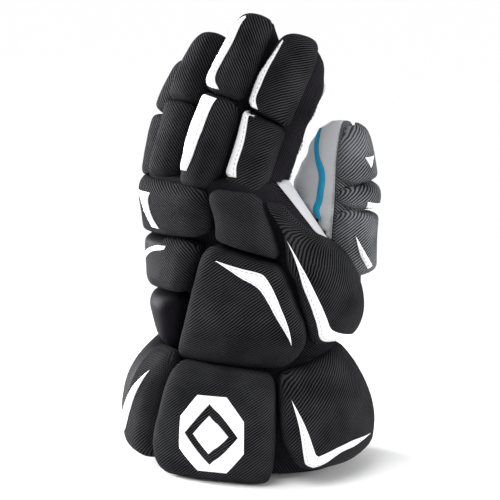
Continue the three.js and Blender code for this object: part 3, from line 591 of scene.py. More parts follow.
# Pads: the shoulder's shape, which way the ribs of the cloth run, and rows from the lower
# edge up, each with the angle and the place along the sleeve of its left and right end
FINGER_SHOULDER = {"rim": 0.35, "roll": 7}
HAND_SHOULDER = {"rim": 0.45, "roll": 9}
CUFF_SHOULDER = {"rim": 0.45, "roll": 11}
STRETCH_SHOULDER = {"rim": 0.12, "roll": 13}
PADS = {
    "index_tip_pad": ("index", FINGER_SHOULDER, -1, [
        [-80, 0.455, 54, 0.385], [-78, 0.58, 58, 0.52], [-74, 0.75, 62, 0.70],
        [-66, 0.98, 66, 0.97]]),
    "index_base_pad": ("index", FINGER_SHOULDER, -1, [
        [-78, -0.05, 42, -0.08], [-80, 0.22, 46, 0.20], [-80, 0.445, 52, 0.375]]),
    "middle_tip_pad": ("middle", FINGER_SHOULDER, 1, [
        [-78, 0.485, 62, 0.46], [-76, 0.72, 64, 0.70], [-66, 0.97, 66, 0.96]]),
    "middle_base_pad": ("middle", FINGER_SHOULDER, 1, [
        [-76, -0.04, 56, -0.04], [-78, 0.475, 62, 0.45]]),
    "ring_tip_pad": ("ring", FINGER_SHOULDER, 1, [
        [-78, 0.475, 62, 0.475], [-76, 0.72, 64, 0.72], [-66, 0.97, 66, 0.96]]),
    "ring_base_pad": ("ring", FINGER_SHOULDER, 1, [
        [-76, -0.01, 60, -0.01], [-78, 0.465, 62, 0.465]]),
    "pinky_tip_pad": ("pinky", FINGER_SHOULDER, 1, [
        [-80, 0.51, 62, 0.51], [-76, 0.74, 64, 0.74], [-66, 0.97, 66, 0.96]]),
    "pinky_base_pad": ("pinky", FINGER_SHOULDER, 1, [
        [-78, 0.03, 60, 0.0], [-80, 0.50, 62, 0.50]]),
    "thumb_tip_pad": ("thumb", FINGER_SHOULDER, -1, [
        [-78, 0.645, 78, 0.66], [-78, 0.80, 76, 0.80], [-68, 0.96, 68, 0.96]]),
    "thumb_middle_pad": ("thumb", FINGER_SHOULDER, -1, [
        [-78, 0.525, 78, 0.46], [-78, 0.63, 78, 0.645]]),
    "thumb_base_pad": ("thumb", FINGER_SHOULDER, -1, [
        [-78, 0.12, 78, 0.12], [-78, 0.51, 78, 0.445]]),
    "cuff_centre_roll": ("cuff", CUFF_SHOULDER, -1, [
        [-32, 0.00, 22, 0.00], [-34, 0.20, 24, 0.20], [-30, 0.54, 25, 0.54],
        [-28, 0.87, 27, 0.81]]),
    "cuff_little_finger_roll": ("cuff", CUFF_SHOULDER, -1, [
        [-102, 0.11, -35, 0.09], [-102, 0.32, -35, 0.29], [-101, 0.60, -31, 0.54],
        [-100, 0.96, -29, 0.90]]),
    "cuff_thumb_roll": ("cuff", CUFF_SHOULDER, -1, [
        [38, 0.11, 108, 0.12], [29, 0.32, 108, 0.33], [27, 0.55, 108, 0.60],
        [29, 0.82, 108, 0.96]]),
    "cuff_palm_roll": ("cuff", CUFF_SHOULDER, 1, [
        [111, 0.00, 255, 0.00], [111, 0.40, 255, 0.40], [111, 0.80, 256, 0.80]]),
    "knuckle_pad_little": ("hand", HAND_SHOULDER, 1, [
        [-86, 0.795, -2, 0.815], [-86, 0.88, 5, 0.89], [-86, 0.99, 10, 0.985]]),
    "knuckle_pad_index": ("hand", HAND_SHOULDER, 1, [
        [1, 0.812, 36, 0.755], [8, 0.89, 48, 0.87], [13, 0.985, 60, 0.975]]),
    "back_pad_centre": ("hand", HAND_SHOULDER, -1, [
        [-39, 0.385, 37, 0.385], [-31, 0.49, 43, 0.48], [-22, 0.61, 35, 0.59],
        [-12, 0.715, 33, 0.65], [-1, 0.802, 34, 0.745]]),
    "back_pad_little": ("hand", HAND_SHOULDER, 1, [
        [-88, 0.61, -25, 0.62], [-88, 0.70, -15, 0.71], [-88, 0.785, -4, 0.805]]),
    "stretch_panel": ("hand", STRETCH_SHOULDER, 1, [
        [-88, 0.42, -42, 0.40], [-88, 0.605, -27, 0.615]]),
    "back_pad_thumb": ("hand", HAND_SHOULDER, -1, [
        [46, 0.470, 108, 0.460], [37, 0.590, 114, 0.570], [37, 0.68, 115, 0.67],
        [38, 0.745, 112, 0.76], [52, 0.835, 90, 0.830], [57, 0.88, 82, 0.875],
        [62, 0.95, 80, 0.94]]),
}
ROW_COLUMNS = ("left", "left_along", "right", "right_along")

# Share of a pad's width, from its little-finger side, that is smooth leather
LEATHER_SHARES = {
    "back_pad_little": 0.66,
    "cuff_little_finger_roll": 0.66,
    "knuckle_pad_little": 0.30,
}


def pad_slot(name):
    if name == "stretch_panel":
        return "black_leather"
    return "thumb_mesh" if name.startswith("thumb") else "ribbed_mesh"


def row_table(rows):
    """A pad's rows as a table with a share of its height in front."""
    columns = dict(zip(ROW_COLUMNS, np.array(rows, float).T))
    return {"along": np.linspace(0, 1, len(rows)), **columns}


def shoulder(distance, roll):
    """Quarter-round shoulder: 0 at the edge, 1 from the distance roll on."""
    share = np.clip(distance / roll, 0, 1)
    return np.sqrt(1 - (1 - share) ** 2)


def pad_place(rows, u, v):
    """Angle and place along the sleeve at a share of a pad's width and height."""
    left, low, right, high = (smooth_column(rows, name, v) for name in ROW_COLUMNS)
    return left + (right - left) * u, low + (high - low) * u


def pad_span(sleeve, rows):
    """Width and height in mm of a pad, measured over its middle."""
    u, v = np.array([0, 0.5, 1, 0.5, 0.5]), np.array([0.5, 0.5, 0.5, 0, 1])
    left, middle, right, low, high = skin(sleeve, *pad_place(rows, u, v), 0.5, 0)
    width = np.linalg.norm(left - middle) + np.linalg.norm(right - middle)
    return width, np.linalg.norm(low - high)


PAD_CELL = 2.3
WALL_LEVELS = (0.0, 0.35, 0.75)


def walled_shares(length):
    """Shares across a pad with its side walls, and how high up the wall each one is."""
    cells = max(int(length / PAD_CELL), 8)
    even = np.linspace(0, 1, cells + 1)
    eased = 0.65 * even + 0.35 * (1 - np.cos(math.pi * even)) / 2
    wall = np.array(WALL_LEVELS)
    shares = np.concatenate([np.zeros(len(wall)), eased, np.ones(len(wall))])
    return shares, np.concatenate([wall, np.ones(cells + 1), wall[::-1]])


# How far a pad's corners are rounded, and how sharply; reach and size of the gathers at a
# seam, size of the dents, reach of the rise and height of the base, all in mm; and how much
# of the pad's width and height its base has
CORNER, CORNER_POWER = 2.2, 14
GATHER_REACH, GATHER_SIZE = 7, 8
DENT_SIZE, RISE_REACH = 42, 6
BASE_RISE, BASE_SHARE = 0.3, 0.92


def build_pad(name, sizes):
    """One cushion, sewn down along its edge, ready for its cloth to fill."""
    on, form, rib_side, rows = PADS[name]
    sleeve, rows = SLEEVES[on], row_table(rows)
    width, height = pad_span(sleeve, rows)
    u, wall_u = walled_shares(width)
    v, wall_v = walled_shares(height)
    u, v = np.meshgrid(u, v)
    wall = np.minimum(*np.meshgrid(wall_u, wall_v))
    to_side, to_end = np.minimum(u, 1 - u) * width, np.minimum(v, 1 - v) * height
    edge = np.minimum(to_side, to_end)
    round_u = u + (0.5 - u) * 2 * CORNER / width * np.abs(2 * v - 1) ** CORNER_POWER
    round_v = v + (0.5 - v) * 2 * CORNER / height * np.abs(2 * u - 1) ** CORNER_POWER
    place = pad_place(rows, round_u, round_v)
    crown = shoulder(to_side, form["roll"]) * shoulder(to_end, form["roll"])
    level = (form["rim"] + (1 - form["rim"]) * crown) * wall
    base = skin(sleeve, *place, level, 0)
    seed = sum(name.encode())
    gathers = np.exp(-edge / GATHER_REACH) * ripples(base, GATHER_SIZE, seed)
    dents = ripples(base, DENT_SIZE, seed + 1) * sizes.dent_depth
    start = -sizes.cloth_rise * np.minimum(edge / RISE_REACH, 1)
    extra = (gathers * sizes.gather_depth + dents + start) / MM * wall
    top = skin(sleeve, *place, level, np.maximum(extra, SEAM_GAP - 12 * level))
    inset = ((1 - BASE_SHARE) / 2 + BASE_SHARE * share for share in (round_u, round_v))
    under = skin(sleeve, *pad_place(rows, *inset), 0, BASE_RISE)

    faces = full_sheet(wall.shape[0] - 1, wall.shape[1] - 1)
    weave = flat_places(base) * [rib_side, 1]
    piece = new_piece(name, (top, under), faces, pad_slot(name), weave)
    held = np.concatenate([(wall == 0).ravel(), np.ones(wall.size, bool)])
    group = piece.vertex_groups.new(name="sewn")
    group.add(np.nonzero(held)[0].tolist(), 1.0, "REPLACE")
    if name in LEATHER_SHARES:
        smooth = cell_centres(u) < LEATHER_SHARES[name]
        second_look(piece, "black_leather", smooth.ravel())
    return piece


def vertex_points(mesh):
    points = np.zeros(len(mesh.vertices) * 3, np.float32)
    mesh.vertices.foreach_get("co", points)
    return points.reshape(-1, 3)


COVER_CLOTH = {
    "quality": 5,
    "mass": 0.3,
    "tension_stiffness": 30,
    "compression_stiffness": 30,
    "shear_stiffness": 10,
    "bending_stiffness": 2,
    "use_pressure": True,
    "vertex_group_mass": "sewn",
}
COVER_FRAMES = 20


def fill_pads(pads, sizes):
    """Cloth simulation: the pads' covers swell under pressure, held along their seams."""
    for pad in pads:
        settings = pad.modifiers.new("cover", "CLOTH").settings
        for key, value in COVER_CLOTH.items():
            setattr(settings, key, value)
        settings.uniform_pressure_force = sizes.cloth_pressure
        settings.effector_weights.gravity = 0
    scene = bpy.context.scene
    scene.frame_start, scene.frame_end = 1, COVER_FRAMES
    for step in range(1, COVER_FRAMES + 1):
        scene.frame_set(step)
    graph = bpy.context.evaluated_depsgraph_get()
    for pad in pads:
        start = vertex_points(pad.data)
        moved = vertex_points(pad.evaluated_get(graph).to_mesh()) - start
        pad.evaluated_get(graph).to_mesh_clear()
        length = np.linalg.norm(moved, axis=1, keepdims=True)
        moved *= np.minimum(1, sizes.most_swell / np.maximum(length, 1e-9))
        pad.modifiers.clear()
        pad.data.vertices.foreach_set("co", (start + moved).astype(np.float32).ravel())
        pad.data.update()
    scene.frame_set(1)


def subdivide(pieces):
    """One smooth subdivision, kept in the mesh."""
    for piece in pieces:
        finer = piece.modifiers.new("finer", "SUBSURF")
        finer.levels = finer.render_levels = 1
    graph = bpy.context.evaluated_depsgraph_get()
    for piece in pieces:
        old = piece.data
        piece.data = bpy.data.meshes.new_from_object(
            piece.evaluated_get(graph), preserve_all_data_layers=True, depsgraph=graph
        )
        piece.modifiers.clear()
        piece.vertex_groups.clear()
        bpy.data.meshes.remove(old)
        piece.data.name = piece.name


# Inlays: outlines of [angle, along] on the pad that carries them
INLAYS = {
    "index_base_strip": ("index_base_pad", [
        [-60, 0.38], [-50, 0.425], [-8, 0.415], [-24, 0.39], [-20, 0.36], [-15, 0.23],
        [-15, 0.09], [-8, 0.02], [-30, 0.01], [-60, 0.03], [-62, 0.2]]),
    "index_tip_strip": ("index_tip_pad", [
        [-19, 0.87], [-15, 0.86], [-16, 0.77], [-18, 0.70], [-20, 0.575], [-22, 0.50],
        [-8, 0.44], [-35, 0.45], [-65, 0.50], [-55, 0.575], [-36, 0.70], [-28, 0.77]]),
    "middle_base_strip": ("middle_base_pad", [
        [-46, 0.40], [-36, 0.445], [6, 0.44], [2, 0.37], [0, 0.24], [-3, 0.10],
        [-8, 0.03], [-40, 0.02], [-48, 0.1], [-48, 0.25]]),
    "middle_tip_strip": ("middle_tip_pad", [
        [-9, 0.91], [-4, 0.90], [-4, 0.86], [-3, 0.73], [-6, 0.64], [-8, 0.55],
        [4, 0.49], [-30, 0.50], [-52, 0.56], [-44, 0.64], [-34, 0.73], [-24, 0.86]]),
    "thumb_tip_mark": ("thumb_tip_pad", [[-32, 0.80], [0, 0.80], [-18, 0.74]]),
    "thumb_side_mark": ("thumb_middle_pad", [
        [-34, 0.555], [4, 0.53], [-4, 0.50], [-34, 0.52]]),
    "thumb_base_strip": ("thumb_base_pad", [
        [-52, 0.36], [-32, 0.26], [-14, 0.18], [-26, 0.165], [-42, 0.25]]),
    "back_chevron": ("back_pad_centre", [
        [1, 0.755], [11, 0.737], [21, 0.722], [22.5, 0.705], [25, 0.59], [32, 0.48],
        [21.5, 0.57], [16.5, 0.665], [14.5, 0.683], [9, 0.706]]),
    "thumb_chevron": ("back_pad_thumb", [
        [55, 0.83], [43.5, 0.705], [43, 0.605], [48, 0.52], [53, 0.492], [62, 0.482],
        [78, 0.476], [86, 0.485], [69, 0.505], [58, 0.525], [54, 0.545], [50, 0.60],
        [48, 0.665], [49, 0.74]]),
    "knuckle_mark": ("knuckle_pad_little", [
        [-62, 0.945], [-26, 0.95], [-31, 0.92], [-33, 0.875], [-29, 0.835],
        [-38, 0.835], [-43, 0.875], [-46, 0.925]]),
    "little_crescent": ("back_pad_little", [
        [-28, 0.78], [-42, 0.77], [-66, 0.725], [-64, 0.71], [-44, 0.752],
        [-30, 0.768]]),
    "cuff_fork": ("cuff_little_finger_roll", [
        [-41, 0.77], [-46, 0.58], [-50, 0.425], [-56, 0.295], [-64, 0.23],
        [-75, 0.33], [-80, 0.50], [-72, 0.44], [-65, 0.35], [-58, 0.47], [-51, 0.62]]),
    "cuff_corner": ("cuff_thumb_roll", [
        [33, 0.66], [35, 0.49], [39, 0.20], [44, 0.155], [49, 0.175], [60, 0.245],
        [73, 0.26], [90, 0.28], [71, 0.305], [59, 0.29], [52, 0.265], [46, 0.24],
        [44, 0.26], [39, 0.45]]),
}


# Steps along an inlay's outline and between the points inside it in mm; the width of its
# rounded edge in mm and the thickness there as a share; how high the underside lies in mm
OUTLINE_STEP = 1.3
INLAY_CELL = 1.9
EDGE_ROLL, EDGE_SHARE = 0.9, 0.45
PLATE_LIFT = 0.12


def smooth_outline(corners):
    """Points along a closed outline: smooth through its shallow corners, sharp at its tips."""
    ahead = np.roll(corners, -1, 0) - corners
    behind = np.roll(ahead, 1, 0)
    sharp = np.sum(unit(ahead) * unit(behind), 1) < math.cos(math.radians(50))
    points = []
    for index, step in enumerate(ahead):
        follow = (index + 1) % len(corners)
        leave = step if sharp[index] else (step + behind[index]) / 2
        arrive = step if sharp[follow] else (step + ahead[follow]) / 2
        length = np.linalg.norm(step)
        count = max(int(length / OUTLINE_STEP), 1)
        share = np.arange(count)[:, None] / count
        leave, arrive = unit(leave) * length, unit(arrive) * length
        points.append(curve(share, corners[index], leave, corners[follow], arrive))
    return np.concatenate(points)


def edge_distance(points, outline):
    """Distance of every point from a closed outline."""
    step = (np.roll(outline, -1, 0) - outline)[None]
    gap = points[:, None] - outline[None]
    share = np.clip(np.sum(gap * step, -1) / np.sum(step * step, -1), 0, 1)
    return np.linalg.norm(gap - step * share[..., None], axis=-1).min(1)


def fill_outline(outline, spacing):
    """Points and triangles inside a closed flat outline; the outline's points come first."""
    low, high = outline.min(0), outline.max(0)
    across = np.arange(low[0], high[0], spacing)
    up = np.arange(low[1], high[1], spacing * 0.87)
    grid = np.stack(np.meshgrid(across, up), -1)
    # Every other row is moved half a step, so that the triangles are even
    grid[1::2, :, 0] += spacing / 2
    grid = grid.reshape(-1, 2)
    points = np.concatenate([outline, grid[edge_distance(grid, outline) > spacing * 0.45]])
    count = len(outline)
    loop = [(index, (index + 1) % count) for index in range(count)]
    vectors = [Vector(point) for point in points]
    found, _, triangles, *_ = delaunay_2d_cdt(vectors, loop, [], 1, 1e-4)
    return np.array([tuple(point) for point in found]), np.array(triangles)


def surface_of(node):
    """A search tree over a finished piece, for what lies on it."""
    mesh = bpy.data.objects[look_name(node)].data
    faces = [tuple(face.vertices) for face in mesh.polygons]
    return BVHTree.FromPolygons(vertex_points(mesh).tolist(), faces)


# How far out of a pad's crown a ray starts in mm, before it comes in to what lies there
RAY_LENGTH = 14


def lay_on(tree, sleeve, angle, along):
    """Points on a finished pad at places of its sleeve, and the way out of it there."""
    near, far = (skin(sleeve, angle, along, 1, lift) for lift in (0, RAY_LENGTH))
    outward = unit(far - near)
    starts = (far + SHIFT) * MM
    spots, normals = np.zeros_like(starts), np.zeros_like(starts)
    for index, (start, out) in enumerate(zip(starts, outward)):
        hit, normal, *_ = tree.ray_cast(Vector(start), Vector(-out))
        if hit is None:
            hit, normal, *_ = tree.find_nearest(Vector(near[index] + SHIFT) * MM)
        spots[index], normals[index] = hit, normal
    return spots / MM - SHIFT, unit(normals + 0.5 * outward)


def plate(name, slot, spots, normals, heights, faces, flat):
    """A thin plate laid on a pad; its faces join raised points and as many below them."""
    parts = (spots + normals * heights[:, None], spots + normals * PLATE_LIFT)
    seat_piece(new_piece(name, parts, faces, slot, flat), name)


def plate_faces(triangles, count):
    """Triangles, their copies count points further on, and the walls round their edge."""
    edges = triangles[:, [0, 1, 1, 2, 2, 0]].reshape(-1, 2)
    known = {tuple(edge) for edge in edges.tolist()}
    p, q = np.array(sorted(edge for edge in known if edge[::-1] not in known)).T
    walls = [np.stack([q, p, p + count], 1), np.stack([q, p + count, q + count], 1)]
    return np.concatenate([triangles, triangles[:, ::-1] + count, *walls])


def inlay_heights(distance, sizes):
    """Heights of an inlay's points at their distances from its edge, which is rounded."""
    rounding = shoulder(distance, EDGE_ROLL)
    return sizes.inlay_thickness / MM * (EDGE_SHARE + (1 - EDGE_SHARE) * rounding)


def flat_scale(sleeve, angle, along):
    """Millimetres for one degree and for one whole length, at a place on a sleeve."""
    angles = np.array([angle - 5, angle + 5, angle, angle])
    alongs = np.array([along, along, along - 0.04, along + 0.04])
    left, right, low, high = skin(sleeve, angles, alongs, 1, 0)
    return np.array([np.linalg.norm(right - left) / 10, np.linalg.norm(high - low) / 0.08])


def inlay_form(name):
    """An inlay's pad and sleeve, the scale there and its outline in flat millimetres."""
    host, corners = INLAYS[name]
    sleeve = SLEEVES[PADS[host][0]]
    scale = flat_scale(sleeve, *np.mean(corners, 0))
    return host, sleeve, scale, smooth_outline(np.array(corners) * scale)


def build_inlay(name, sizes):
    """A white leather inlay that follows the cushion under it."""
    host, sleeve, scale, outline = inlay_form(name)
    flat, triangles = fill_outline(outline, INLAY_CELL)
    spots, normals = lay_on(surface_of(host), sleeve, *(flat / scale).T)
    heights = inlay_heights(edge_distance(flat, outline), sizes)
    faces = plate_faces(triangles, len(flat))
    plate(name, "white_leather", spots, normals, heights, faces, flat)


BADGE_PLACE = (-2.0, 0.387)
BADGE_ANGLES, BADGE_RINGS = 96, 8


def corner_ring(corners, radius, turn, angles):
    """Distance from the middle to a regular shape's edge at each angle."""
    sector = 2 * math.pi / corners
    gap = (angles - turn * sector) % sector - sector / 2
    return radius * math.cos(sector / 2) / np.cos(gap)


def build_badge(name, outer, inner, sizes):
    """A plain patch on the centre roll between two regular shapes round one middle."""
    angles = np.linspace(0, 2 * math.pi, BADGE_ANGLES + 1)[:-1]
    shares = np.linspace(0, 1, BADGE_RINGS + 1)[:, None]
    far = corner_ring(*outer, angles)
    near = corner_ring(*inner, angles) if inner else np.full_like(far, 0.3)
    reach = near + (far - near) * shares
    flat = np.stack([reach * np.cos(angles), reach * np.sin(angles)], -1).reshape(-1, 2)
    sleeve = SLEEVES["cuff"]
    place = flat / flat_scale(sleeve, *BADGE_PLACE) + BADGE_PLACE
    spots, normals = lay_on(surface_of("cuff_centre_roll"), sleeve, *place.T)
    edge = np.minimum(far - reach, reach - near if inner else 9)
    faces = full_sheet(BADGE_RINGS, BADGE_ANGLES, True)
    heights = inlay_heights(edge, sizes).ravel()
    plate(name, "white_leather", spots, normals, heights, faces, flat)


# Blue piping on the thumb's palm side: places of [angle, along] down its middle
PIPINGS = {
    "thumb_piping_long": [[-158, 0.92], [-133, 0.86], [-114, 0.77], [-101, 0.70],
        [-98, 0.62], [-99, 0.54], [-101, 0.48], [-96, 0.43]],
    "thumb_piping_short": [[-146, 0.56], [-130, 0.52], [-122, 0.475], [-116, 0.43]],
}
PIPING_WIDTH = 4.2
PIPING_STEPS, PIPING_COLUMNS = 60, 7


def build_piping(name, sizes):
    """A blue strip sewn on the thumb's suede."""
    path = np.array(PIPINGS[name])
    last = len(path) - 1
    knots = {"along": np.arange(last + 1.0), "angle": path[:, 0], "place": path[:, 1]}
    steps = np.linspace(0, last, PIPING_STEPS)
    place = [smooth_column(knots, column, steps) for column in ("angle", "place")]
    middle = skin(SLEEVES["thumb"], *place, 0, 0)
    outward = unit(skin(SLEEVES["thumb"], *place, 0, 5) - middle)
    sideways = unit(np.cross(unit(np.gradient(middle, axis=0)), outward))
    shares = np.linspace(-1, 1, PIPING_COLUMNS)
    taper = np.minimum(1, 0.25 + np.sin(math.pi * steps / last) * 2)
    across = sideways[:, None] * (shares[None, :, None] * taper[:, None, None])
    spread = middle[:, None] + across * PIPING_WIDTH / 2
    tree = surface_of("thumb_palm")
    spots = (spread + SHIFT).reshape(-1, 3) * MM
    normals = np.repeat(outward, PIPING_COLUMNS, 0)
    for index, (start, out) in enumerate(zip(spots + normals * 4 * MM, normals)):
        hit = tree.ray_cast(Vector(start), Vector(-out), 9 * MM)[0]
        if hit is not None:
            spots[index] = hit
    bulge = np.tile(0.5 + 0.7 * np.sqrt(1 - 0.9 * shares**2), PIPING_STEPS)
    heights = bulge * sizes.inlay_thickness / MM
    faces = full_sheet(PIPING_STEPS - 1, PIPING_COLUMNS - 1)
    flat = flat_places(spread)
    plate(name, "blue_trim", spots / MM - SHIFT, normals, heights, faces, flat)


# Stitches: sizes in millimetres
STITCH_PITCH = 3.1
STITCH_LENGTH = 2.2
STITCH_INSET = 1.4
STITCH_REACH = 2.5
THREAD_RADIUS = 0.24
THREAD_SIDES = 6

# Degrees between a seam of the suede and its stitches
PALM_INSET = 5.0

# Rings of a stitch: the place along it, its width as a share and its lift in mm
STITCH_RINGS = ((0, 0.4, -0.1), (0.15, 1, 0.1), (0.85, 1, 0.1), (1, 0.4, -0.1))


def stitch_spans(path):
    """Start, middle and end of every stitch along a path."""
    run = np.concatenate([[0], np.cumsum(np.linalg.norm(np.diff(path, axis=0), axis=1))])
    starts = (np.arange(int(run[-1] // STITCH_PITCH)) + 0.15) * STITCH_PITCH
    at = starts[:, None] + np.array([0, 0.5, 1]) * STITCH_LENGTH
    return np.stack([np.interp(at, run, column) for column in path.T], -1)


def inlay_stitches(name):
    """Stitches just inside the outline of a white inlay."""
    _, sleeve, scale, outline = inlay_form(name)
    follow = np.roll(outline, -1, 0)
    ahead = unit(follow - np.roll(outline, 1, 0))
    inward = np.stack([-ahead[:, 1], ahead[:, 0]], 1)
    if np.sum(outline[:, 0] * follow[:, 1] - outline[:, 1] * follow[:, 0]) < 0:
        inward = -inward
    path = outline + inward * STITCH_INSET
    spans = stitch_spans(np.concatenate([path, path[:1]]))
    gap = edge_distance(spans.reshape(-1, 2), outline).reshape(-1, 3)
    spans = spans[gap.min(1) > 0.8 * STITCH_INSET]
    places = (spans.reshape(-1, 2) / scale).T
    return [part.reshape(-1, 3, 3) for part in lay_on(surface_of(name), sleeve, *places)]


def palm_stitches(name):
    """Stitches down both edges of a finger's suede."""
    sleeve, (palm_from, palm_to) = SLEEVES[name], PALM_ANGLES[name == "thumb"]
    tree = surface_of(f"{name}_palm")
    found = []
    for angle in (palm_from + PALM_INSET, palm_to - PALM_INSET):
        alongs = np.linspace(0.06, 0.97, 160)
        path = skin(sleeve, angle, alongs, 0, 0)
        spans = stitch_spans(np.column_stack([path, alongs]))
        laid = lay_on(tree, sleeve, angle, spans[..., 3].ravel())
        spots, normals = (part.reshape(-1, 3, 3) for part in laid)
        near = (np.linalg.norm(spots - spans[..., :3], axis=-1) < STITCH_REACH).all(1)
        found.append((spots[near], normals[near]))
    return [np.concatenate(part) for part in zip(*found)]


def build_thread(name, runs, slot, look):
    """Joined stitches of thread, each one raised in its middle and sunk at its ends."""
    spots, normals = (np.concatenate(part) for part in zip(*runs))
    start, middle, end = spots[:, 0], spots[:, 1], spots[:, 2]
    up = unit(normals[:, 1])
    side = unit(np.cross(end - start, up))
    turns = np.linspace(0, 2 * math.pi, THREAD_SIDES + 1)[:-1, None]
    spread = side[:, None] * np.cos(turns) + up[:, None] * np.sin(turns)
    rings = []
    for share, width, lift in STITCH_RINGS:
        centre = start * (1 - share) * (1 - 2 * share) + middle * 4 * share * (1 - share)
        centre = centre + end * share * (2 * share - 1) + up * lift
        rings.append(centre[:, None] + spread * width * THREAD_RADIUS)
    a = np.arange(THREAD_SIDES)
    b = (a + 1) % THREAD_SIDES
    band = np.stack([a, b, b + THREAD_SIDES, a + THREAD_SIDES], 1)
    ends = np.array([[3, 2, 1, 0], [5, 4, 3, 0], [18, 19, 20, 21], [18, 21, 22, 23]])
    one = np.concatenate([*(band + THREAD_SIDES * ring for ring in range(3)), ends])
    step = THREAD_SIDES * len(STITCH_RINGS)
    faces = (one + step * np.arange(len(spots))[:, None, None]).reshape(-1, 4)
    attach(new_piece(name, [np.stack(rings, 1)], faces, slot, look=look), "root")


# Materials


def plug(node, inputs):
    """Link values to a node's inputs, and set constants on the rest."""
    for label, value in inputs.items():
        if isinstance(value, Value):
            value.tree.links.new(value.socket, node.inputs[label])
        else:
            node.inputs[label].default_value = value


def add_node(tree, kind, inputs=None, **settings):
    node = tree.nodes.new(kind)
    for key, value in settings.items():
        setattr(node, key, value)
    plug(node, inputs or {})
    return node


class Value:
    """An output socket; sums and products of values are Math nodes."""

    def __init__(self, tree, socket):
        self.tree, self.socket = tree, socket

    def math(self, operation, other=None):
        inputs = {0: self} if other is None else {0: self, 1: other}
        node = add_node(self.tree, "ShaderNodeMath", inputs, operation=operation)
        return Value(self.tree, node.outputs[0])

    def __add__(self, other):
        return self.math("ADD", other)

    def __mul__(self, other):
        return self.math("MULTIPLY", other)


def output(tree, label, kind, inputs=None, **settings):
    """One output of a new node, as a value."""
    return Value(tree, add_node(tree, kind, inputs, **settings).outputs[label])


def noise(vector, scale, detail):
    inputs = {"Vector": vector, "Scale": scale, "Detail": detail}
    return output(vector.tree, "Fac", "ShaderNodeTexNoise", inputs)


def new_group(name, setting, default, outputs):
    """A shader node group with a vector and a number as inputs; gives those two as values."""
    group = bpy.data.node_groups.new(name, "ShaderNodeTree")
    group.interface.new_socket("Vector", in_out="INPUT", socket_type="NodeSocketVector")
    number = group.interface.new_socket(setting, in_out="INPUT", socket_type="NodeSocketFloat")
    number.default_value = default
    for label in outputs:
        group.interface.new_socket(label, in_out="OUTPUT", socket_type="NodeSocketFloat")
    start = add_node(group, "NodeGroupInput").outputs
    return group, Value(group, start["Vector"]), Value(group, start[setting])


# Distance between the threads of a rib in mm
THREAD_PITCH = 0.9


def ribbed_weave_group():
    """Diagonal ribs of threads, from a vector in mm: how high, and how light each spot is
    painted, darker in the gaps between ribs as painted shade and lighter on their crowns as
    painted highlight, with random tone.
    """
    group, vector, pitch = new_group("Ribbed weave", "Pitch", 2.1, ("Height", "Lightness"))
    split = add_node(group, "ShaderNodeSeparateXYZ", {0: vector}).outputs
    x, y = Value(group, split["X"]), Value(group, split["Y"])
    slanted = x * 0.64 + y * 0.77 + noise(vector, 0.12, 1.0)
    rib = (slanted.math("DIVIDE", pitch) * (2 * math.pi)).math("SINE")
    beads = ((y * 0.64 + x * -0.77) * (2 * math.pi / THREAD_PITCH)).math("SINE")
    height = rib * 0.36 + beads * 0.22 + 0.5
    # Painted shade and highlight: the colour follows the ribs' height, dark in their gaps and
    # light on their crowns, plus random tone from noise
    light = height * 0.75 + noise(vector, 1.9, 3.0) * 0.5
    add_node(group, "NodeGroupOutput", {"Height": height, "Lightness": light})
    return group


def grain_group():
    """Grain of leather or nap of cloth, from object coordinates in metres."""
    group, vector, fineness = new_group("Grain", "Fineness", 900.0, ("Height", "Mottle"))
    inputs = {"Vector": vector, "Scale": fineness}
    cells = output(group, "Distance", "ShaderNodeTexVoronoi", inputs, feature="F1")
    height = noise(vector, fineness, 3.0) * 0.6 + cells * 0.4
    add_node(group, "NodeGroupOutput", {"Height": height, "Mottle": noise(vector, 38.0, 4.0)})
    return group


def scaled(colour, factor):
    return tuple(min(channel * factor, 1) for channel in colour[:3])


def colour_between(factor, dark, light, start=0):
    """Colours between two by a factor, all dark up to start."""
    node = add_node(factor.tree, "ShaderNodeValToRGB", {0: factor})
    first, second = node.color_ramp.elements
    first.position = start
    first.color, second.color = (*dark, 1), (*light, 1)
    return Value(factor.tree, node.outputs[0])


def new_material(name):
    """A material, its shader, and the object's own coordinates in it."""
    material = bpy.data.materials.new(look_name(name))
    material.use_nodes = True
    tree = material.node_tree
    place = output(tree, "Object", "ShaderNodeTexCoord")
    return material, tree.nodes["Principled BSDF"], place


def grain_of(place, grain, inputs):
    """Height and mottle of the grain at a place."""
    inputs = {"Vector": place, **inputs}
    made = add_node(place.tree, "ShaderNodeGroup", inputs, node_tree=grain).outputs
    return Value(place.tree, made["Height"]), Value(place.tree, made["Mottle"])


def dress(shader, colour, rough, sheen, gloss, height, strength, distance):
    """Give a shader its colour, roughness, sheen, gloss and the bumps of a height."""
    inputs = {"Height": height, "Strength": strength, "Distance": distance}
    plug(shader, {
        "Base Color": colour,
        "Roughness": rough,
        "Sheen Weight": sheen,
        "Sheen Roughness": 0.4,
        "Specular IOR Level": gloss,
        "Normal": output(height.tree, 0, "ShaderNodeBump", inputs),
    })


def ribbed_material(name, colour, weave_group, grain, pitch, dark, light):
    """Ribbed mesh cloth: ribs from its flat coordinates, greyer where light grazes it.

    Dark and light are the colours of the gaps between ribs and of their crowns, as shares:
    painted shade in the gaps and painted highlight on the crowns.
    """
    _, shader, place = new_material(name)
    tree = place.tree
    flat = output(tree, "UV", "ShaderNodeUVMap", uv_map="weave")
    inputs = {"Vector": flat, "Pitch": pitch / MM}
    made = add_node(tree, "ShaderNodeGroup", inputs, node_tree=weave_group).outputs
    _, mottle = grain_of(place, grain, {})
    # Painted shade and highlight: the ribs' colour runs from dark in their gaps to light on
    # their crowns, with random mottle
    factor = Value(tree, made["Lightness"]) * (mottle + 0.55)
    shade = colour_between(factor, scaled(colour, dark), scaled(colour, light), RIB_HIGHLIGHT_START)
    height, rough = Value(tree, made["Height"]), mottle * 0.2 + 0.62
    dress(shader, shade, rough, RIB_SHEEN, RIB_GLOSS, height, *RIB_BUMP)


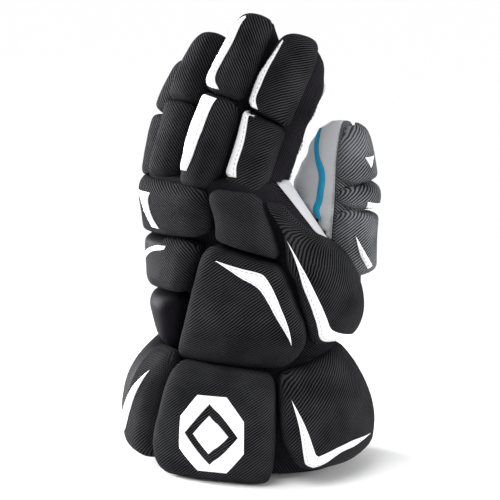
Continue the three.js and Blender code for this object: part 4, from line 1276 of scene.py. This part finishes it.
def grained_material(name, colour, grain, values):
    """Cloth or leather with a grain, and with the values of LOOK_COLUMNS."""
    look = dict(zip(LOOK_COLUMNS, values))
    _, shader, place = new_material(name)
    height, mottle = grain_of(place, grain, {"Fineness": look["fineness"]})
    dark, light = (
        scaled(colour, look["tone"] * (1 + way * look["contrast"])) for way in (-1, 1)
    )
    shade = colour_between(mottle * 0.7 + height * 0.4, dark, light)
    rough = mottle * 0.15 + (look["roughness"] - 0.07)
    bump = (look["bump"], GRAIN_DEPTH)
    dress(shader, shade, rough, look["sheen"], look["gloss"], height, *bump)


# Where the ribs start to lighten as painted highlight, all painted shade below it; their
# strength and depth, and the grain's depth, in metres
RIB_HIGHLIGHT_START = 0.46
RIB_SHEEN, RIB_GLOSS = 0.004, 0.012
RIB_BUMP = (0.8, 0.0006)
GRAIN_DEPTH = 0.0004

# Pitch of the ribs as a share of the mesh's, and the shares of their colour's two ends, the
# painted shade in their gaps and the painted highlight on their crowns
RIBBED_LOOKS = {
    "ribbed_mesh": (1, 0.0, 4.6),
    "thumb_mesh": (1, 0.15, 4.3),
    "fine_cloth": (0.8, 0.05, 2.2),
}
LOOK_COLUMNS = ("fineness", "bump", "roughness", "contrast", "sheen", "gloss", "tone")
GRAINED_LOOKS = {
    "black_leather": (1100, 0.3, 0.55, 0.5, 0.0, 0.03, 0.3),
    "white_leather": (1300, 0.3, 0.55, 0.05, 0.0, 0.2, 0.95),
    "suede": (1000, 0.5, 0.92, 0.16, 0.05, 0.05, 0.7),
    "blue_trim": (1400, 0.4, 0.6, 0.25, 0.05, 0.2, 0.9),
    "lining": (900, 0.5, 0.85, 0.3, 0.02, 0.1, 1),
}
THREAD_LOOK = (2600, 0.5, 0.6, 0.2, 0.1, 0.2, 1)

# Each thread's leather and its tone as a share of the leather's
THREADS = {"pale_thread": ("white_leather", 0.42), "grey_thread": ("suede", 0.5)}


# Add-on


def colour_property(label, slot):
    return bpy.props.FloatVectorProperty(
        name=label,
        description=f"Colour of the {label.lower()}",
        subtype="COLOR",
        size=3,
        min=0,
        max=1,
        default=RECORD_COLOURS[slot],
    )


class GloveColours(bpy.types.PropertyGroup):
    """Colours of the glove's cloths and leathers."""

    ribbed_mesh: colour_property("Ribbed mesh", "ribbed_mesh")
    thumb_mesh: colour_property("Thumb mesh", "thumb_mesh")
    fine_cloth: colour_property("Fine cloth", "fine_cloth")
    black_leather: colour_property("Black leather", "black_leather")
    white_leather: colour_property("White leather", "white_leather")
    suede: colour_property("Suede palm", "suede")
    blue_trim: colour_property("Blue trim", "blue_trim")
    lining: colour_property("Cuff lining", "lining")


def length_property(label, description, default):
    return bpy.props.FloatProperty(
        name=label, description=description, default=default, min=0, precision=4, unit="LENGTH"
    )


class GloveSizes(bpy.types.PropertyGroup):
    """Sizes of the glove's cloth and trim."""

    rib_pitch: length_property("Rib pitch", "Distance between two ribs of the mesh", 0.0017)
    gather_depth: length_property("Gather depth", "How deep a seam puckers the cloth", 0.00022)
    dent_depth: length_property("Dent depth", "How deep a pad's broad dents are", 0.0005)
    cloth_rise: length_property("Cloth rise", "How far a pad's cloth rises to fill it", 0.0011)
    most_swell: length_property("Most swell", "The furthest that a cover may move", 0.0022)
    inlay_thickness: length_property("Inlay thickness", "Thickness of the inlays", 0.0012)
    cloth_pressure: bpy.props.FloatProperty(
        name="Cloth pressure",
        description="Pressure that fills the pads' covers",
        default=2.0,
        min=0,
    )


class GLOVE_OT_materials(bpy.types.Operator):
    """Make the glove's cloths and leathers"""

    bl_idname = "glove.materials"
    bl_label = "Materials"

    def execute(self, context):
        colours, sizes = context.scene.glove_colours, context.scene.glove_sizes
        weave, grain = ribbed_weave_group(), grain_group()
        for name, (pitch, *shares) in RIBBED_LOOKS.items():
            pitch *= sizes.rib_pitch
            ribbed_material(name, getattr(colours, name), weave, grain, pitch, *shares)
        for name, values in GRAINED_LOOKS.items():
            grained_material(name, getattr(colours, name), grain, values)
        for name, (slot, tone) in THREADS.items():
            colour = scaled(getattr(colours, slot), tone)
            grained_material(name, colour, grain, THREAD_LOOK)
        return {"FINISHED"}


class GLOVE_OT_body(bpy.types.Operator):
    """Build the hollow body of the glove: liner, suede palm and cuff lining"""

    bl_idname = "glove.body"
    bl_label = "Body"

    def execute(self, context):
        build_hand()
        return {"FINISHED"}


class GLOVE_OT_fingers(bpy.types.Operator):
    """Build the hollow sleeves and suede palms of the fingers and the thumb"""

    bl_idname = "glove.fingers"
    bl_label = "Fingers and thumb"

    def execute(self, context):
        for index, name in enumerate(DIGITS):
            build_digit(name, 21 + 2 * index)
        return {"FINISHED"}


class GLOVE_OT_pads(bpy.types.Operator):
    """Build every cushion of the fingers, the back and the cuff, and fill their covers"""

    bl_idname = "glove.pads"
    bl_label = "Pads"

    def execute(self, context):
        sizes = context.scene.glove_sizes
        pads = [build_pad(name, sizes) for name in PADS]
        fill_pads(pads, sizes)
        subdivide(pads)
        for name, pad in zip(PADS, pads):
            seat_piece(pad, name)
        return {"FINISHED"}


class GLOVE_OT_inlays(bpy.types.Operator):
    """Lay the white inlays and the plain patch on the cushions"""

    bl_idname = "glove.inlays"
    bl_label = "White inlays"

    def execute(self, context):
        sizes = context.scene.glove_sizes
        for name in INLAYS:
            build_inlay(name, sizes)
        inner = (4, 0.74 * BADGE_RADIUS, 0)
        build_badge("badge_rim", (8, BADGE_RADIUS, 0.5), inner, sizes)
        build_badge("badge_diamond", (4, 0.46 * BADGE_RADIUS, 0), None, sizes)
        return {"FINISHED"}


class GLOVE_OT_piping(bpy.types.Operator):
    """Sew the blue piping on the thumb"""

    bl_idname = "glove.piping"
    bl_label = "Blue piping"

    def execute(self, context):
        for name in PIPINGS:
            build_piping(name, context.scene.glove_sizes)
        return {"FINISHED"}


class GLOVE_OT_stitches(bpy.types.Operator):
    """Sew the inlays and the suede with thread"""

    bl_idname = "glove.stitches"
    bl_label = "Stitches"

    def execute(self, context):
        runs = [inlay_stitches(name) for name in INLAYS]
        build_thread("inlay_stitches", runs, "white_leather", "pale_thread")
        runs = [palm_stitches(name) for name in DIGITS]
        build_thread("palm_stitches", runs, "suede", "grey_thread")
        return {"FINISHED"}


# The camera looks at the glove from its back and thumb side, as in the photograph
CAMERA_AZIMUTH = 28
CAMERA_ELEVATION = 12
CAMERA_DISTANCE = 1.5
CAMERA_LENS = 159.3
CAMERA_TARGET = np.array([0, 0, 155.0])
TARGET_OFFSET = (1.0, -7.9)
LIGHT_TARGET = Vector((0, 0, 0.15))
FLOOR_REACH = 12


def way_out(azimuth, elevation):
    """Direction from the glove at an azimuth, from its back toward its thumb, and elevation."""
    turn, rise = math.radians(azimuth), math.radians(elevation)
    level = math.cos(rise)
    return Vector((math.sin(turn) * level, -math.cos(turn) * level, math.sin(rise)))


def face_back(shown, out):
    """Turn a light or the camera to look back along the way out."""
    shown.rotation_euler = Vector(-out).to_track_quat("-Z", "Y").to_euler()


def add_light(name, kind, azimuth, elevation, distance, energy, **settings):
    light = bpy.data.lights.new(name, kind)
    light.energy = energy
    for key, value in settings.items():
        setattr(light, key, value)
    lamp = show(name, light)
    out = way_out(azimuth, elevation)
    lamp.location = LIGHT_TARGET + out * distance
    face_back(lamp, out)


def add_strip(name, azimuth, elevation, energy):
    add_light(
        name, "AREA", azimuth, elevation, 1, energy,
        shape="RECTANGLE", size=0.5, size_y=0.8, spread=math.radians(70),
    )


class GLOVE_OT_stage(bpy.types.Operator):
    """Set up the pale floor, the soft light and the camera"""

    bl_idname = "glove.stage"
    bl_label = "Stage"

    def execute(self, context):
        scene = context.scene
        material, shader, place = new_material("floor_paper")
        pale = colour_between(noise(place, 60.0, 3.0), [0.96] * 3, [0.985] * 3)
        plug(shader, {"Base Color": pale, "Roughness": 0.9})
        mesh = bpy.data.meshes.new("floor")
        corners = [(-1, -1), (1, -1), (1, 1), (-1, 1)]
        corners = [(x * FLOOR_REACH, y * FLOOR_REACH, 0) for x, y in corners]
        mesh.from_pydata(corners, [], [(0, 1, 2, 3)])
        mesh.materials.append(material)
        show("floor", mesh)

        scene.world = bpy.data.worlds.new("studio")
        scene.world.use_nodes = True
        sky = scene.world.node_tree.nodes["Background"]
        plug(sky, {"Color": (1, 1, 1, 1), "Strength": 0.52})
        scene.view_settings.view_transform = "Standard"
        add_light("key_light", "SUN", -8, 54, 3, 2.05, angle=math.radians(45))
        add_strip("left_strip", -86, 6, 11)
        add_strip("right_strip", 104, 6, 2.6)

        back = np.array(way_out(CAMERA_AZIMUTH, CAMERA_ELEVATION))
        right = np.array(way_out(CAMERA_AZIMUTH + 90, 0))
        across, rise = TARGET_OFFSET
        aim = CAMERA_TARGET + SHIFT + right * across + np.cross(back, right) * rise
        camera = show("camera", bpy.data.cameras.new("camera"))
        camera.data.lens, camera.data.sensor_width = CAMERA_LENS, 36
        camera.data.clip_start, camera.data.clip_end = 0.05, 50
        camera.location = Vector(aim * MM + back * CAMERA_DISTANCE)
        face_back(camera, back)
        scene.camera = camera
        return {"FINISHED"}


OPERATORS = (
    GLOVE_OT_materials,
    GLOVE_OT_body,
    GLOVE_OT_fingers,
    GLOVE_OT_pads,
    GLOVE_OT_inlays,
    GLOVE_OT_piping,
    GLOVE_OT_stitches,
    GLOVE_OT_stage,
)


class GLOVE_PT_build(bpy.types.Panel):
    """Steps that build the glove"""

    bl_idname = "GLOVE_PT_build"
    bl_label = "Lacrosse glove"
    bl_space_type = "VIEW_3D"
    bl_region_type = "UI"
    bl_category = "Glove"

    def draw(self, context):
        column = self.layout.column()
        for group in (context.scene.glove_sizes, context.scene.glove_colours):
            for name in group.__annotations__:
                column.prop(group, name)
        for step in OPERATORS:
            column.operator(step.bl_idname)


CLASSES = (GloveColours, GloveSizes, *OPERATORS, GLOVE_PT_build)


def register():
    for kind in CLASSES:
        bpy.utils.register_class(kind)
    bpy.types.Scene.glove_colours = bpy.props.PointerProperty(type=GloveColours)
    bpy.types.Scene.glove_sizes = bpy.props.PointerProperty(type=GloveSizes)


def unregister():
    del bpy.types.Scene.glove_sizes
    del bpy.types.Scene.glove_colours
    for kind in reversed(CLASSES):
        bpy.utils.unregister_class(kind)


def main():
    """Build the whole scene."""
    register()
    bpy.ops.glove.materials()
    bpy.ops.glove.body()
    bpy.ops.glove.fingers()
    bpy.ops.glove.pads()
    bpy.ops.glove.inlays()
    bpy.ops.glove.piping()
    bpy.ops.glove.stitches()
    bpy.ops.glove.stage()


if __name__ == "__main__":
    main()
